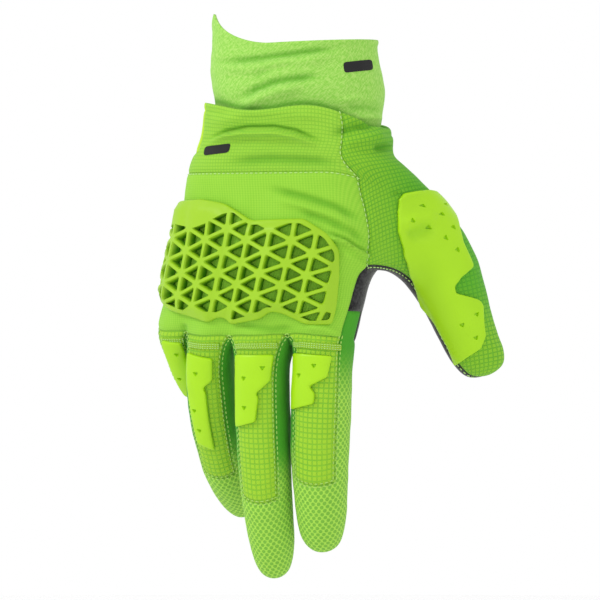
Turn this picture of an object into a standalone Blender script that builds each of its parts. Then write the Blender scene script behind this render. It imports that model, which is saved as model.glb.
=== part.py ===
"""A motocross glove for the right hand, as it sits on a hand with the fingers down.

Metres, +Z up. The origin is the middle of the wrist opening, the back of the hand faces -Y and
the thumb is at +X. The skin is one quad cage, built from the tables of sections below and
smoothed. Each panel is cut out of it along the seams and given its wall.
"""

from collections import namedtuple
from math import cos, pi, radians, sin

import bmesh
import bpy
from mathutils import Vector
from mathutils.bvhtree import BVHTree
from mathutils.geometry import barycentric_transform

# Driving dimensions
HAND_LENGTH = 0.1240        # wrist opening to the finger roots, along the back
HAND_BREADTH = 0.0940       # across the knuckles
HAND_DEPTH = 0.0400         # back to palm
INDEX_LENGTH = 0.0995       # each finger from its root to its tip, along its curve
MIDDLE_LENGTH = 0.1125
RING_LENGTH = 0.1015
LITTLE_LENGTH = 0.0780
FINGER_BREADTH = 0.0240     # of the middle finger, and the others as shares of it
THUMB_REACH = 0.0440        # sideways, from the thumb's root to its tip
THUMB_DROP = 0.0690         # downwards, from the thumb's root to its tip
THUMB_BREADTH = 0.0300      # at the thumb's root
CUFF_BREADTH = 0.0780
CUFF_DEPTH = 0.0500
CUFF_TUCK = 0.0090          # how far the cuff runs on inside the wrist
CUFF_PEAK = 0.0150          # how far the pull at the little finger's side stands up
CLOTH_WALL = 0.0014
CUFF_WALL = 0.0012
SEAM_GAP = 0.0006           # between two panels that meet at a seam
LAYER_GAP = 0.0006          # between the cloth and what lies on it
PATCH_WALL = 0.0014
GUARD_WALL = 0.0040
GUARD_RIM_WALL = 0.0022
GUARD_PITCH = 0.0097        # along the columns of the guard's lattice
GUARD_STRUT = 0.0017
RIM_REACH = 0.0001          # a corner this close to the guard's outline has the rim's wall

# The shares of the hand's breadth that end each finger, from the little finger to the index
FINGER_ENDS = (0.0, 0.200, 0.445, 0.715, 1.0)
BODY_COLUMNS = 20           # 0 little finger's side, 1-9 back, 10 index's side, 11-19 palm
THUMB_ROWS = (4, 7)         # the rows of the body that the thumb's root lies between
THUMB_COLUMNS = (9, 12)

# One row for each ring of the body, wrist to knuckles. Heights are shares of HAND_LENGTH below
# the opening, at the back, the palm and the two edges; the rest are shares of HAND_BREADTH
# (middle_x, half_breadth) and HAND_DEPTH (middle_y, back, palm, arch, knuckle). seam is where
# the back ends, as a share of the half breadth, side and palm_edge the angles below it.
Ring = namedtuple("Ring", "back_z palm_z little_z thumb_z middle_x middle_y half_breadth back palm "
                  "arch knuckle seam side palm_edge palm_seam wave")
BODY = [
    Ring(0.212, 0.250, 0.200, 0.290, 0.016, 0.00, 0.462, 0.63, 0.62, 0.00, 0.000, 0.60, 20, -12, 0.72, 1.0),
    Ring(0.262, 0.300, 0.250, 0.325, 0.022, 0.00, 0.482, 0.64, 0.61, 0.00, 0.000, 0.60, 20, -12, 0.72, 0.7),
    Ring(0.322, 0.345, 0.305, 0.358, 0.016, -0.01, 0.480, 0.57, 0.58, 0.02, 0.000, 0.58, 20, -12, 0.72, 0.0),
    Ring(0.378, 0.390, 0.365, 0.392, 0.006, -0.03, 0.505, 0.58, 0.56, 0.05, 0.000, 0.55, 20, -12, 0.72, 0.0),
    Ring(0.435, 0.440, 0.440, 0.420, 0.014, -0.06, 0.565, 0.49, 0.58, 0.08, 0.000, 0.52, 20, -15, 0.76, 0.0),
    Ring(0.540, 0.530, 0.530, 0.540, -0.040, -0.09, 0.524, 0.50, 0.64, 0.14, 0.005, 0.78, 5, -25, 0.62, 0.0),
    Ring(0.645, 0.660, 0.630, 0.650, -0.062, -0.13, 0.527, 0.52, 0.66, 0.20, 0.020, 0.91, 5, -25, 0.58, 0.0),
    Ring(0.742, 0.785, 0.735, 0.775, -0.098, -0.16, 0.530, 0.54, 0.60, 0.26, 0.050, 0.95, 0, -30, 0.62, 0.0),
    Ring(0.840, 0.880, 0.835, 0.850, -0.130, -0.18, 0.530, 0.53, 0.52, 0.30, 0.060, 0.95, 0, -30, 0.90, 0.0),
    Ring(0.925, 0.985, 0.915, 0.930, -0.152, -0.20, 0.532, 0.50, 0.46, 0.34, 0.035, 0.94, 0, -32, 0.90, 0.0),
]
WRIST_WAVE = 0.0020         # how far the wrist's free edge waves up and down, across the back
WRIST_WAVE_LENGTH = 1.45    # one wave, as a share of the half breadth
ROUNDNESS = 2.3             # the exponent of the body's ovals
LITTLE_EDGE = 0.92          # where the back starts, as a share of the half breadth

# breadth and depth are shares of FINGER_BREADTH. across, mid_depth and root place the finger's
# axis at its root, as shares of HAND_BREADTH, HAND_DEPTH and HAND_LENGTH, and fall is how much
# lower it starts at the palm, as a share of HAND_LENGTH. Angles in degrees: facing turns the
# finger's back towards the thumb, splay leans it that way, and the curls bend its three joints.
Finger = namedtuple("Finger", "name length breadth depth across mid_depth root fall facing splay "
                    "curls")
FINGERS = [
    Finger("little", LITTLE_LENGTH, 0.78, 0.76, -0.600, 0.03, 0.985, 0.00, -18, -1, (34, 30, 24)),
    Finger("ring", RING_LENGTH, 0.92, 0.88, -0.394, -0.26, 1.010, 0.03, -2, -3, (18, 18, 20)),
    Finger("middle", MIDDLE_LENGTH, 1.00, 0.98, -0.108, -0.35, 1.015, 0.05, -2, -2, (6, 8, 8)),
    Finger("index", INDEX_LENGTH, 1.10, 0.98, 0.190, -0.28, 1.015, 0.04, 2, -4, (3, 9, 9)),
]

# The webs between the fingers, little to index: the top of the slit at the back, how much lower
# it is at the palm, both as shares of HAND_LENGTH
Web = namedtuple("Web", "top fall")
WEBS = [Web(1.004, 0.01), Web(1.010, 0.05), Web(1.000, 0.07)]
WEB_BACK = 0.62             # how far the webs stand out at the back, as a share of the fingers'
WEB_PALM = 0.70

# One row for each ring of a finger, as shares of its length, half breadth and half depth. bow
# is how far the ring's back runs ahead, as a share of the breadth.
FingerRing = namedtuple("FingerRing", "along breadth depth bow")
FINGER_RINGS = [
    FingerRing(0.120, 0.95, 0.98, 0.00),
    FingerRing(0.225, 1.00, 1.00, 0.00),
    FingerRing(0.350, 1.01, 0.98, 0.02),
    FingerRing(0.490, 0.98, 0.95, 0.08),
    FingerRing(0.640, 0.94, 0.92, 0.22),
    FingerRing(0.770, 0.89, 0.88, 0.16),
    FingerRing(0.885, 0.80, 0.80, 0.06),
    FingerRing(0.965, 0.56, 0.58, 0.00),
]
BACK_RINGS = 5              # a finger's back panel ends at this ring
FINGER_ANGLES = (138, 90, 42, -5, -48, -90, -132, -175)

# One row for each ring of the thumb: shares of THUMB_REACH, THUMB_DROP and THUMB_BREADTH
ThumbRing = namedtuple("ThumbRing", "out down breadth depth")
THUMB_ROOT = (0.436, 0.36, 0.613)     # shares of HAND_BREADTH, HAND_DEPTH and HAND_LENGTH
THUMB_HEADING = 38          # degrees from +X towards the palm
THUMB_FACING = 8
THUMB_RINGS = [
    ThumbRing(0.37, 0.165, 1.20, 1.00),
    ThumbRing(0.53, 0.335, 1.09, 0.90),
    ThumbRing(0.65, 0.500, 0.95, 0.83),
    ThumbRing(0.74, 0.650, 0.86, 0.78),
    ThumbRing(0.83, 0.790, 0.79, 0.72),
    ThumbRing(0.94, 0.900, 0.74, 0.62),
    ThumbRing(0.99, 0.965, 0.52, 0.42),
]
THUMB_ANGLES = (140, 105, 75, 40, 13, -13, -40, -75, -105, -140, -167, 167)

# The cuff's rings: shares of the depth to its lower end, of CUFF_BREADTH and of CUFF_DEPTH
CuffRing = namedtuple("CuffRing", "down breadth depth")
CUFF_RINGS = [
    CuffRing(0.00, 0.960, 0.98),
    CuffRing(0.20, 0.975, 0.99),
    CuffRing(0.32, 1.005, 1.02),
    CuffRing(0.50, 1.020, 1.02),
    CuffRing(0.66, 1.000, 0.97),
    CuffRing(0.78, 0.970, 0.91),
    CuffRing(1.00, 0.940, 0.87),
]
CUFF_SIDES = 32
CUFF_PEAK_ANGLE = 168       # degrees from +X, round the back
CUFF_PEAK_SPREAD = 50
CUFF_RISE = 0.0030          # how much higher the cuff is at the thumb's side

# The patches' outlines: shares of the digit's half breadth across and of its length along
PATCHES = {
    "little": [(-0.25, 0.050), (0.75, 0.070), (0.60, 0.480), (-0.20, 0.430)],
    "ring": [(-0.62, 0.080), (0.50, 0.100), (0.45, 0.195), (0.10, 0.230), (0.18, 0.255),
             (0.20, 0.530), (-0.45, 0.500), (-0.62, 0.220)],
    "middle": [(-0.72, 0.075), (0.74, 0.075), (0.62, 0.175), (0.16, 0.225), (0.24, 0.240),
               (0.12, 0.335), (-0.70, 0.365)],
    "index": [(-0.86, 0.085), (0.55, 0.085), (0.42, 0.180), (-0.12, 0.225), (0.06, 0.255),
              (0.04, 0.300), (-0.86, 0.342)],
    "thumb": [(0.12, 0.225), (0.75, 0.210), (1.50, 0.167), (2.00, 0.180), (2.30, 0.230),
              (2.15, 0.330), (1.85, 0.430), (1.40, 0.500), (1.14, 0.570), (1.03, 0.695),
              (0.55, 0.710), (0.28, 0.740), (0.24, 0.785), (0.50, 0.830), (0.80, 0.885),
              (0.86, 0.925), (0.68, 1.030), (0.56, 1.120), (0.28, 1.180), (-0.18, 1.195),
              (-0.72, 1.225), (-0.60, 1.090), (-0.72, 0.940), (-0.98, 0.790), (-0.75, 0.490),
              (-0.40, 0.330)],
}
PATCH_STEP = 0.0036         # between the cuts that let a patch bend

# The guard's outline and the window that its lattice fills: shares of HAND_BREADTH across, from
# the back's middle column, and of HAND_LENGTH along, from the wrist's free edge
GUARD_OUTLINE = [(-0.50, 0.335), (-0.27, 0.323), (-0.15, 0.336), (-0.11, 0.350), (0.00, 0.398),
                 (0.26, 0.390), (0.38, 0.443), (0.44, 0.490), (0.47, 0.585), (0.50, 0.770),
                 (0.39, 0.775), (0.25, 0.730), (0.19, 0.722), (0.16, 0.752), (0.01, 0.776),
                 (-0.03, 0.748), (-0.08, 0.745), (-0.11, 0.765), (-0.28, 0.741), (-0.40, 0.720),
                 (-0.56, 0.680), (-0.58, 0.550), (-0.55, 0.450)]
GUARD_WINDOW = [(-0.54, 0.440), (-0.44, 0.420), (-0.30, 0.430), (-0.22, 0.410), (-0.13, 0.375),
                (-0.09, 0.370), (0.00, 0.415), (0.25, 0.407), (0.365, 0.455), (0.42, 0.500),
                (0.45, 0.585), (0.478, 0.750), (0.40, 0.757), (0.26, 0.712), (0.17, 0.705),
                (0.13, 0.735), (0.02, 0.755), (-0.03, 0.730), (-0.09, 0.725), (-0.28, 0.722),
                (-0.40, 0.700), (-0.54, 0.665), (-0.56, 0.550)]
GUARD_SEAT = 0.0010         # below the guard, whose straight struts span the rounded skin
GUARD_COLUMN = 0.0103       # between the lattice's columns
GUARD_BENDS = (-0.51, -0.465, -0.42, -0.375, -0.33)   # where it folds round the hand's side

# What each panel is made of, by its name or by the last word of it
PANEL_FINISH = {
    "wrist_back": "mesh", "wrist_palm": "palm", "ulnar_insert": "moulded", "thumb_gusset": "mesh",
    "hand_back": "stretch", "palm": "palm", "thumb_palm": "palm", "back": "mesh",
    "fourchette": "side",
}

COLOURS = {
    "cuff": (0.36, 0.70, 0.18),
    "mesh": (0.35, 0.74, 0.10),
    "stretch": (0.30, 0.66, 0.06),
    "side": (0.13, 0.45, 0.05),
    "palm": (0.025, 0.025, 0.027),
    "moulded": (0.40, 0.76, 0.02),
    "guard": (0.31, 0.62, 0.05),
}


def remove_everything():
    for obj in list(bpy.data.objects):
        bpy.data.objects.remove(obj, do_unlink=True)


def material(name, roughness):
    surface = bpy.data.materials.new(name)
    surface.use_nodes = True
    shader = surface.node_tree.nodes["Principled BSDF"]
    shader.inputs["Base Color"].default_value = (*COLOURS[name.split(".")[0]], 1.0)
    shader.inputs["Roughness"].default_value = roughness
    return surface


def add_object(name, mesh, finish, roughness=0.85):
    mesh.materials.append(material(finish, roughness))
    obj = bpy.data.objects.new(name, mesh)
    bpy.context.collection.objects.link(obj)
    return obj


def mix(a, b, share):
    return a + (b - a) * share


def oval(x, exponent):
    """The height of a unit oval of that exponent at x."""
    return (1.0 - min(1.0, abs(x)) ** exponent) ** (1.0 / exponent)


def column_shares():
    """Where the nine columns of the back lie between its two edges: each finger has a middle."""
    shares = []
    for start, end in zip(FINGER_ENDS, FINGER_ENDS[1:]):
        shares += [start, (start + end) / 2]
    return shares + [1.0]


def ring_height(ring, x, to_palm):
    """The height of a ring of the body, at a share of its half breadth, from back to palm."""
    edge = ring.little_z if x < 0 else ring.thumb_z
    front = mix(ring.back_z, edge, x * x)
    rear = mix(ring.palm_z, edge, x * x)
    wave = ring.wave * (1.0 - to_palm) * cos(2 * pi * (x + 1.0) / WRIST_WAVE_LENGTH)
    return wave * WRIST_WAVE - mix(front, rear, to_palm) * HAND_LENGTH


def body_ring(ring):
    """The twenty corners of one ring of the body, from the little finger's side round the back."""
    half = ring.half_breadth * HAND_BREADTH
    back, palm = ring.back * HAND_DEPTH, ring.palm * HAND_DEPTH
    shares = column_shares()

    def corner(x, side, knuckle=0.0):
        height = side * oval(x, ROUNDNESS)
        depth = (back if side < 0 else palm) * height
        arch = ring.arch * HAND_DEPTH * ((1.0 - x) / 2) ** 2
        return Vector((ring.middle_x * HAND_BREADTH + half * x,
                       ring.middle_y * HAND_DEPTH + depth + arch - knuckle * HAND_DEPTH,
                       ring_height(ring, x, (1.0 + height) / 2)))

    def side_corner(angle):
        x = cos(radians(angle))
        return corner(x, -1.0 if angle > 0 else 1.0)

    corners = [corner(-1.0, 1.0)]
    for index, share in enumerate(shares):
        bump = ring.knuckle if index % 2 else -ring.knuckle
        if index in (0, len(shares) - 1):
            bump = 0.0
        corners.append(corner(mix(-LITTLE_EDGE, ring.seam, share), -1.0, bump))
    corners.append(side_corner(ring.side))
    palm_side = cos(radians(ring.palm_edge))
    for index, share in enumerate(reversed(shares)):
        x = mix(-LITTLE_EDGE, palm_side, share)
        if index == 1:
            x = mix(-LITTLE_EDGE, ring.palm_seam, 1.0)
        corners.append(corner(x, 1.0))
    return corners


class FingerPath:
    """The axis of a finger, which bends towards the palm at its three joints."""

    JOINTS = (0.0, 0.40, 0.70)
    SPREAD = 0.10           # each bend is spread over this share of the length either side
    STEPS = 60

    def __init__(self, finger):
        self.finger = finger
        facing, splay = radians(finger.facing), radians(finger.splay)
        self.back = Vector((sin(facing), -cos(facing), 0.0))
        side = Vector((cos(facing), sin(facing), 0.0))
        up = Vector((0.0, 0.0, 1.0))
        self.down = side * sin(splay) - up * cos(splay)
        self.side = side * cos(splay) + up * sin(splay)
        self.root = Vector((finger.across * HAND_BREADTH, finger.mid_depth * HAND_DEPTH,
                            -finger.root * HAND_LENGTH))
        self.half_breadth = finger.breadth * FINGER_BREADTH / 2
        self.half_depth = finger.depth * FINGER_BREADTH / 2

    def curl(self, along):
        total = 0.0
        for joint, angle in zip(self.JOINTS, self.finger.curls):
            share = (along - joint + self.SPREAD) / (2 * self.SPREAD)
            total += angle * min(1.0, max(0.0, share))
        return radians(total)

    def frame(self, along):
        """The axis's point, its direction, and the finger's back there."""
        point = self.root.copy()
        step = self.finger.length / self.STEPS
        for index in range(int(round(along * self.STEPS))):
            bend = self.curl((index + 0.5) / self.STEPS)
            point += (self.down * cos(bend) - self.back * sin(bend)) * step
        bend = self.curl(along)
        heading = self.down * cos(bend) - self.back * sin(bend)
        back = self.back * cos(bend) + self.down * sin(bend)
        return point, heading, back


def control_scale(corners):
    """How much larger a ring of control points is than the smooth round that it makes."""
    return 3.0 / (2.0 + cos(radians(360.0 / corners)))


class Cage:
    """The control cage: points, quads, and for each quad the panel that it belongs to."""

    def __init__(self):
        self.points = []
        self.quads = []
        self.panels = []

    def add(self, point):
        self.points.append(point)
        return len(self.points) - 1

    def quad(self, corners, panel):
        self.quads.append(tuple(corners))
        self.panels.append(panel)

    def sleeve(self, upper, lower, panel_of):
        """Quads between two rings of the same number of corners."""
        count = len(upper)
        for column in range(count):
            after = (column + 1) % count
            self.quad((upper[column], lower[column], lower[after], upper[after]), panel_of(column))

    def cap(self, ring, tip, panel_of, start=0):
        """Quads from a ring to one point, two columns wide."""
        count = len(ring)
        for column in range(start, count + start, 2):
            corners = [ring[(column + step) % count] for step in range(3)]
            self.quad((corners[0], tip, corners[2], corners[1]), panel_of(column % count))


def body_panel(row, column):
    thumb_top, thumb_bottom = THUMB_ROWS
    if row < thumb_top:
        if column == 0 and row in (0, 1, 2):
            return "ulnar_insert"
        if 9 <= column <= 11:
            return "thumb_gusset"
        return "wrist_back" if column <= 8 else "wrist_palm"
    if column <= 8:
        return "hand_back"
    if column == 9 and row == len(BODY) - 1:
        return "index_fourchette"
    return "palm"


def finger_panel(name, row):
    def panel_of(column):
        if column in (4, 5):
            return name + "_palm"
        if column in (0, 1) and row < BACK_RINGS:
            return name + "_back"
        return name + "_fourchette"
    return panel_of


def root_ring(cage, paths):
    """The ring where the body ends and the fingers start, and each finger's eight corners in it."""
    scale = control_scale(len(FINGER_ANGLES))
    back, palm, webs = {}, {}, {}
    for index, path in enumerate(paths):
        _, heading, lift = path.frame(0.0)
        lift = lift * path.half_depth * scale
        back[2 * index + 1] = path.root + lift
        palm[2 * index + 1] = path.root - lift + heading * path.finger.fall * HAND_LENGTH
    for index, web in enumerate(WEBS):
        left, right = paths[index], paths[index + 1]
        middle = (left.root + right.root) / 2
        lift = (left.back * left.half_depth + right.back * right.half_depth) / 2
        at = 2 * index + 2
        for corners, stand, share in ((back, WEB_BACK, 0.0), (webs, 0.0, 0.5),
                                      (palm, -WEB_PALM, 1.0)):
            corners[at] = middle + lift * stand
            corners[at].z = -(web.top + web.fall * share) * HAND_LENGTH
    for at, path, side in ((0, paths[0], -1.0), (8, paths[-1], 1.0)):
        _, heading, lift = path.frame(0.0)
        lift = lift * path.half_depth * scale
        out = path.side * path.half_breadth * side * scale
        fall = heading * path.finger.fall * HAND_LENGTH
        diagonal = cos(radians(45))
        back[at] = path.root + (out + lift) * diagonal
        webs[at] = path.root + out + fall / 2
        palm[at] = path.root + (out - lift) * diagonal + fall
    back = {at: cage.add(point) for at, point in back.items()}
    palm = {at: cage.add(point) for at, point in palm.items()}
    webs = {at: cage.add(point) for at, point in webs.items()}
    ring = [webs[0]] + [back[at] for at in range(9)] + [webs[8]] + [palm[8 - at] for at in range(9)]
    rings = []
    for index in range(len(paths)):
        first, last = 2 * index, 2 * index + 2
        rings.append([back[first], back[first + 1], back[last], webs[last],
                      palm[last], palm[first + 1], palm[first], webs[first]])
    return ring, rings


def add_finger(cage, path, ring):
    finger = path.finger
    scale = control_scale(len(FINGER_ANGLES))
    rings = [ring]
    for row, shape in enumerate(FINGER_RINGS):
        point, heading, back = path.frame(shape.along)
        corners = []
        for angle in FINGER_ANGLES:
            rise = sin(radians(angle))
            ahead = shape.bow * (2.0 * max(0.0, rise) ** 2 - 1.0) * path.half_breadth
            corners.append(cage.add(
                point + path.side * cos(radians(angle)) * path.half_breadth * shape.breadth * scale
                + back * rise * path.half_depth * shape.depth * scale + heading * ahead))
        cage.sleeve(ring, corners, finger_panel(finger.name, row))
        ring = corners
        rings.append(ring)
    point, heading, back = path.frame(1.0)
    tip = cage.add(point + heading * path.half_depth * 0.12)
    cage.cap(ring, tip, finger_panel(finger.name, len(FINGER_RINGS)))
    return rings


def thumb_panel(column):
    return "thumb_gusset" if column < 6 else "thumb_palm"


def thumb_point(out, down):
    heading = radians(THUMB_HEADING)
    x, y, z = THUMB_ROOT
    return Vector((x * HAND_BREADTH + out * THUMB_REACH * cos(heading),
                   y * HAND_DEPTH + out * THUMB_REACH * sin(heading),
                   -z * HAND_LENGTH - down * THUMB_DROP))


def add_thumb(cage, rows):
    top, bottom = THUMB_ROWS
    first, last = THUMB_COLUMNS
    ring = [rows[row][first] for row in range(bottom, top - 1, -1)]
    ring += [rows[top][column] for column in range(first + 1, last + 1)]
    ring += [rows[row][last] for row in range(top + 1, bottom + 1)]
    ring += [rows[bottom][column] for column in range(last - 1, first, -1)]
    scale = control_scale(len(THUMB_ANGLES))
    facing = radians(THUMB_FACING)
    towards = Vector((sin(facing), -cos(facing), 0.0))
    centres = [thumb_point(0.0, 0.0)] + [thumb_point(s.out, s.down) for s in THUMB_RINGS]
    centres.append(thumb_point(1.0, 1.0))
    rings = [ring]
    for index, shape in enumerate(THUMB_RINGS, start=1):
        heading = (centres[index + 1] - centres[index - 1]).normalized()
        back = (towards - heading * towards.dot(heading)).normalized()
        side = back.cross(heading)
        corners = []
        for angle in THUMB_ANGLES:
            reach = side * cos(radians(angle)) * shape.breadth
            reach += back * sin(radians(angle)) * shape.depth
            corners.append(cage.add(centres[index] + reach * scale * THUMB_BREADTH / 2))
        cage.sleeve(ring, corners, thumb_panel)
        ring = corners
        rings.append(ring)
    cage.cap(ring, cage.add(centres[-1]), thumb_panel)
    return rings


def build_cage():
    cage = Cage()
    top, bottom = THUMB_ROWS
    first, last = THUMB_COLUMNS
    rows = []
    for index, shape in enumerate(BODY):
        corners = body_ring(shape)
        inside = range(first + 1, last) if top < index < bottom else ()
        rows.append([None if column in inside else cage.add(point)
                     for column, point in enumerate(corners)])
    paths = [FingerPath(finger) for finger in FINGERS]
    ring, finger_rings = root_ring(cage, paths)
    rows.append(ring)
    for row, (upper, lower) in enumerate(zip(rows, rows[1:])):
        for column in range(BODY_COLUMNS):
            if top <= row < bottom and first <= column < last:
                continue
            after = (column + 1) % BODY_COLUMNS
            cage.quad((upper[column], lower[column], lower[after], upper[after]),
                      body_panel(row, column))
    thumb_rings = add_thumb(cage, rows)
    finger_rings = [add_finger(cage, path, start) for path, start in zip(paths, finger_rings)]
    return cage, rows, paths, finger_rings, thumb_rings


class Skin:
    """The cage smoothed once: its corners, the middles of its edges and of its quads."""

    def __init__(self, cage):
        self.cage = cage
        mesh = bpy.data.meshes.new("cage")
        mesh.from_pydata(cage.points, [], cage.quads)
        self.edges = {tuple(sorted(edge.vertices)): edge.index for edge in mesh.edges}
        holder = bpy.data.objects.new("cage", mesh)
        bpy.context.collection.objects.link(holder)
        smooth = holder.modifiers.new("smooth", "SUBSURF")
        smooth.levels = smooth.render_levels = 1
        graph = bpy.context.evaluated_depsgraph_get()
        fine = bpy.data.meshes.new_from_object(holder.evaluated_get(graph))
        self.points = [vertex.co.copy() for vertex in fine.vertices]
        self.normals = [normal.vector.copy() for normal in fine.vertex_normals]
        self.corner_count = len(cage.points)
        self.quads = {frozenset(corners): index for index, corners in enumerate(cage.quads)}
        bpy.data.objects.remove(holder)
        bpy.data.meshes.remove(fine)

    def middle(self, a, b):
        return self.corner_count + self.edges[tuple(sorted((a, b)))]

    def centre(self, quad):
        return self.corner_count + len(self.edges) + quad

    def centre_of(self, corners):
        return self.centre(self.quads[frozenset(corners)])


def panel_mesh(skin, name):
    """One panel as a closed wall: the smooth outer face, a plainer inner face, and its edges."""
    quads = [index for index, panel in enumerate(skin.cage.panels) if panel == name]
    sides = {}
    for index in quads:
        corners = skin.cage.quads[index]
        for a, b in zip(corners, corners[1:] + corners[:1]):
            sides[(a, b)] = index
    border = [side for side in sides if (side[1], side[0]) not in sides]
    inward = {}
    for a, b in border:
        middle = skin.middle(a, b)
        for start, end in ((a, middle), (middle, b)):
            along = (skin.points[end] - skin.points[start]).normalized()
            for vertex in (start, end):
                inward.setdefault(vertex, []).append(skin.normals[vertex].cross(along).normalized())

    def shift(vertex):
        """Into the panel, by half the seam's gap from each border that the vertex is on."""
        ways = inward.get(vertex, [])
        if not ways:
            return Vector()
        total = sum(ways, Vector())
        if len(ways) > 1:
            total /= max(0.5, 1.0 + ways[0].dot(ways[1])) * len(ways) / 2
        return total * SEAM_GAP / 2

    mesh = bmesh.new()
    outer, inner = {}, {}

    def out(vertex):
        if vertex not in outer:
            outer[vertex] = mesh.verts.new(skin.points[vertex] + shift(vertex))
        return outer[vertex]

    def into(vertex):
        if vertex not in inner:
            place = skin.points[vertex] + shift(vertex) - skin.normals[vertex] * CLOTH_WALL
            inner[vertex] = mesh.verts.new(place)
        return inner[vertex]

    for index in quads:
        corners = skin.cage.quads[index]
        middles = [skin.middle(a, b) for a, b in zip(corners, corners[1:] + corners[:1])]
        centre = skin.centre(index)
        for step in range(4):
            mesh.faces.new([out(corners[step]), out(middles[step]), out(centre),
                            out(middles[step - 1])])
        mesh.faces.new([into(corner) for corner in reversed(corners)])
    for a, b in border:
        middle = skin.middle(a, b)
        mesh.faces.new([out(middle), out(a), into(a)])
        mesh.faces.new([out(b), out(middle), into(b)])
        mesh.faces.new([out(middle), into(a), into(b)])
    bmesh.ops.triangulate(mesh, faces=mesh.faces[:])
    result = bpy.data.meshes.new(name)
    mesh.to_mesh(result)
    mesh.free()
    return result


def build_panels(skin):
    for name in dict.fromkeys(skin.cage.panels):
        finish = PANEL_FINISH.get(name) or PANEL_FINISH[name.split("_")[-1]]
        add_object(name, panel_mesh(skin, name), finish)


class Sheet:
    """A stretch of the skin laid flat: across its middle column and along it, in metres."""

    def __init__(self, skin, rings, middle):
        grid = []
        for upper, lower in zip(rings, rings[1:]):
            grid.append(self.corner_row(skin, upper))
            grid.append(self.centre_row(skin, upper, lower))
        grid.append(self.corner_row(skin, rings[-1]))
        flat, self.solid, self.normals, faces = [], [], [], []
        along = 0.0
        before = None
        for row in grid:
            points = [skin.points[vertex] for vertex in row]
            if before is not None:
                along += (points[middle] - before).length
            before = points[middle]
            reach = [0.0]
            for start, end in zip(points, points[1:]):
                reach.append(reach[-1] + (end - start).length)
            flat += [Vector((place - reach[middle], along, 0.0)) for place in reach]
            self.solid += points
            self.normals += [skin.normals[vertex] for vertex in row]
        width = len(grid[0])
        for row in range(len(grid) - 1):
            for column in range(width - 1):
                a, b = row * width + column, row * width + column + 1
                faces += [(a, b, b + width), (a, b + width, a + width)]
        self.flat, self.faces = flat, faces
        self.tree = BVHTree.FromPolygons(flat, faces)

    @staticmethod
    def corner_row(skin, ring):
        row = [ring[0]]
        for a, b in zip(ring, ring[1:]):
            row += [skin.middle(a, b), b]
        return row

    @staticmethod
    def centre_row(skin, upper, lower):
        row = [skin.middle(upper[0], lower[0])]
        for column in range(len(upper) - 1):
            corners = (upper[column], upper[column + 1], lower[column], lower[column + 1])
            row += [skin.centre_of(corners), skin.middle(upper[column + 1], lower[column + 1])]
        return row

    def place(self, across, along, height):
        """The point that lies height above the skin at a place of the flat sheet."""
        spot, _, face, _ = self.tree.find_nearest(Vector((across, along, 0.0)))
        corners = self.faces[face]
        flat = [self.flat[corner] for corner in corners]
        point = barycentric_transform(spot, *flat, *[self.solid[c] for c in corners])
        normal = barycentric_transform(spot, *flat, *[self.normals[c] for c in corners])
        return point + normal.normalized() * height


def bend_onto(mesh, sheet, height_of):
    """Bend a flat plate onto the skin: its z, 0 or 1, becomes the height of its two faces."""
    for vertex in mesh.verts:
        across, along, level = vertex.co
        vertex.co = sheet.place(across, along, height_of(across, along, level))


def flat_plate(outline):
    """A closed plate with that outline, its lower face at 0 and its upper face at 1."""
    mesh = bmesh.new()
    lower = mesh.faces.new([mesh.verts.new((x, y, 0.0)) for x, y in outline])
    if lower.normal.z > 0:
        lower.normal_flip()
    mesh.normal_update()
    raised = bmesh.ops.extrude_face_region(mesh, geom=[lower], use_keep_orig=True)
    for item in raised["geom"]:
        if isinstance(item, bmesh.types.BMVert):
            item.co.z = 1.0
    bmesh.ops.recalc_face_normals(mesh, faces=mesh.faces[:])
    return mesh


def slice_at(mesh, axis, place):
    """Cut a flat plate across at one place, so that it can bend there."""
    spot, normal = [0.0, 0.0, 0.0], [0.0, 0.0, 0.0]
    spot[axis], normal[axis] = place, 1.0
    bmesh.ops.bisect_plane(mesh, geom=mesh.verts[:] + mesh.edges[:] + mesh.faces[:],
                           dist=1e-5, plane_co=spot, plane_no=normal)


def slice_plate(mesh, axis, spacing):
    """Cut a flat plate across at even steps."""
    places = [vertex.co[axis] for vertex in mesh.verts]
    step = int(min(places) / spacing) - 1
    while step * spacing < max(places):
        slice_at(mesh, axis, (step + 0.37) * spacing)
        step += 1


def finished(mesh, name):
    bmesh.ops.triangulate(mesh, faces=mesh.faces[:])
    bmesh.ops.recalc_face_normals(mesh, faces=mesh.faces[:])
    result = bpy.data.meshes.new(name)
    mesh.to_mesh(result)
    mesh.free()
    return result


def build_patch(name, sheet, outline, breadth, length):
    """A moulded patch. Its outline is in shares of the digit's half breadth and length."""
    mesh = flat_plate([(x * breadth / 2, y * length) for x, y in outline])
    slice_plate(mesh, 0, PATCH_STEP)
    slice_plate(mesh, 1, PATCH_STEP * 1.7)
    bend_onto(mesh, sheet, lambda across, along, level: LAYER_GAP + level * PATCH_WALL)
    add_object(name, finished(mesh, name), "moulded", 0.45)


def build_patches(skin, paths, finger_rings, thumb_rings):
    for path, rings in zip(paths, finger_rings):
        name = path.finger.name
        sheet = Sheet(skin, [ring[-1:] + ring[:4] for ring in rings[:-1]], 4)
        build_patch(name + "_patch", sheet, PATCHES[name],
                    path.finger.breadth * FINGER_BREADTH, path.finger.length)
    sheet = Sheet(skin, [ring[-2:] + ring[:6] for ring in thumb_rings[:-1]], 7)
    build_patch("thumb_patch", sheet, PATCHES["thumb"], THUMB_BREADTH, THUMB_DROP)


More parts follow.
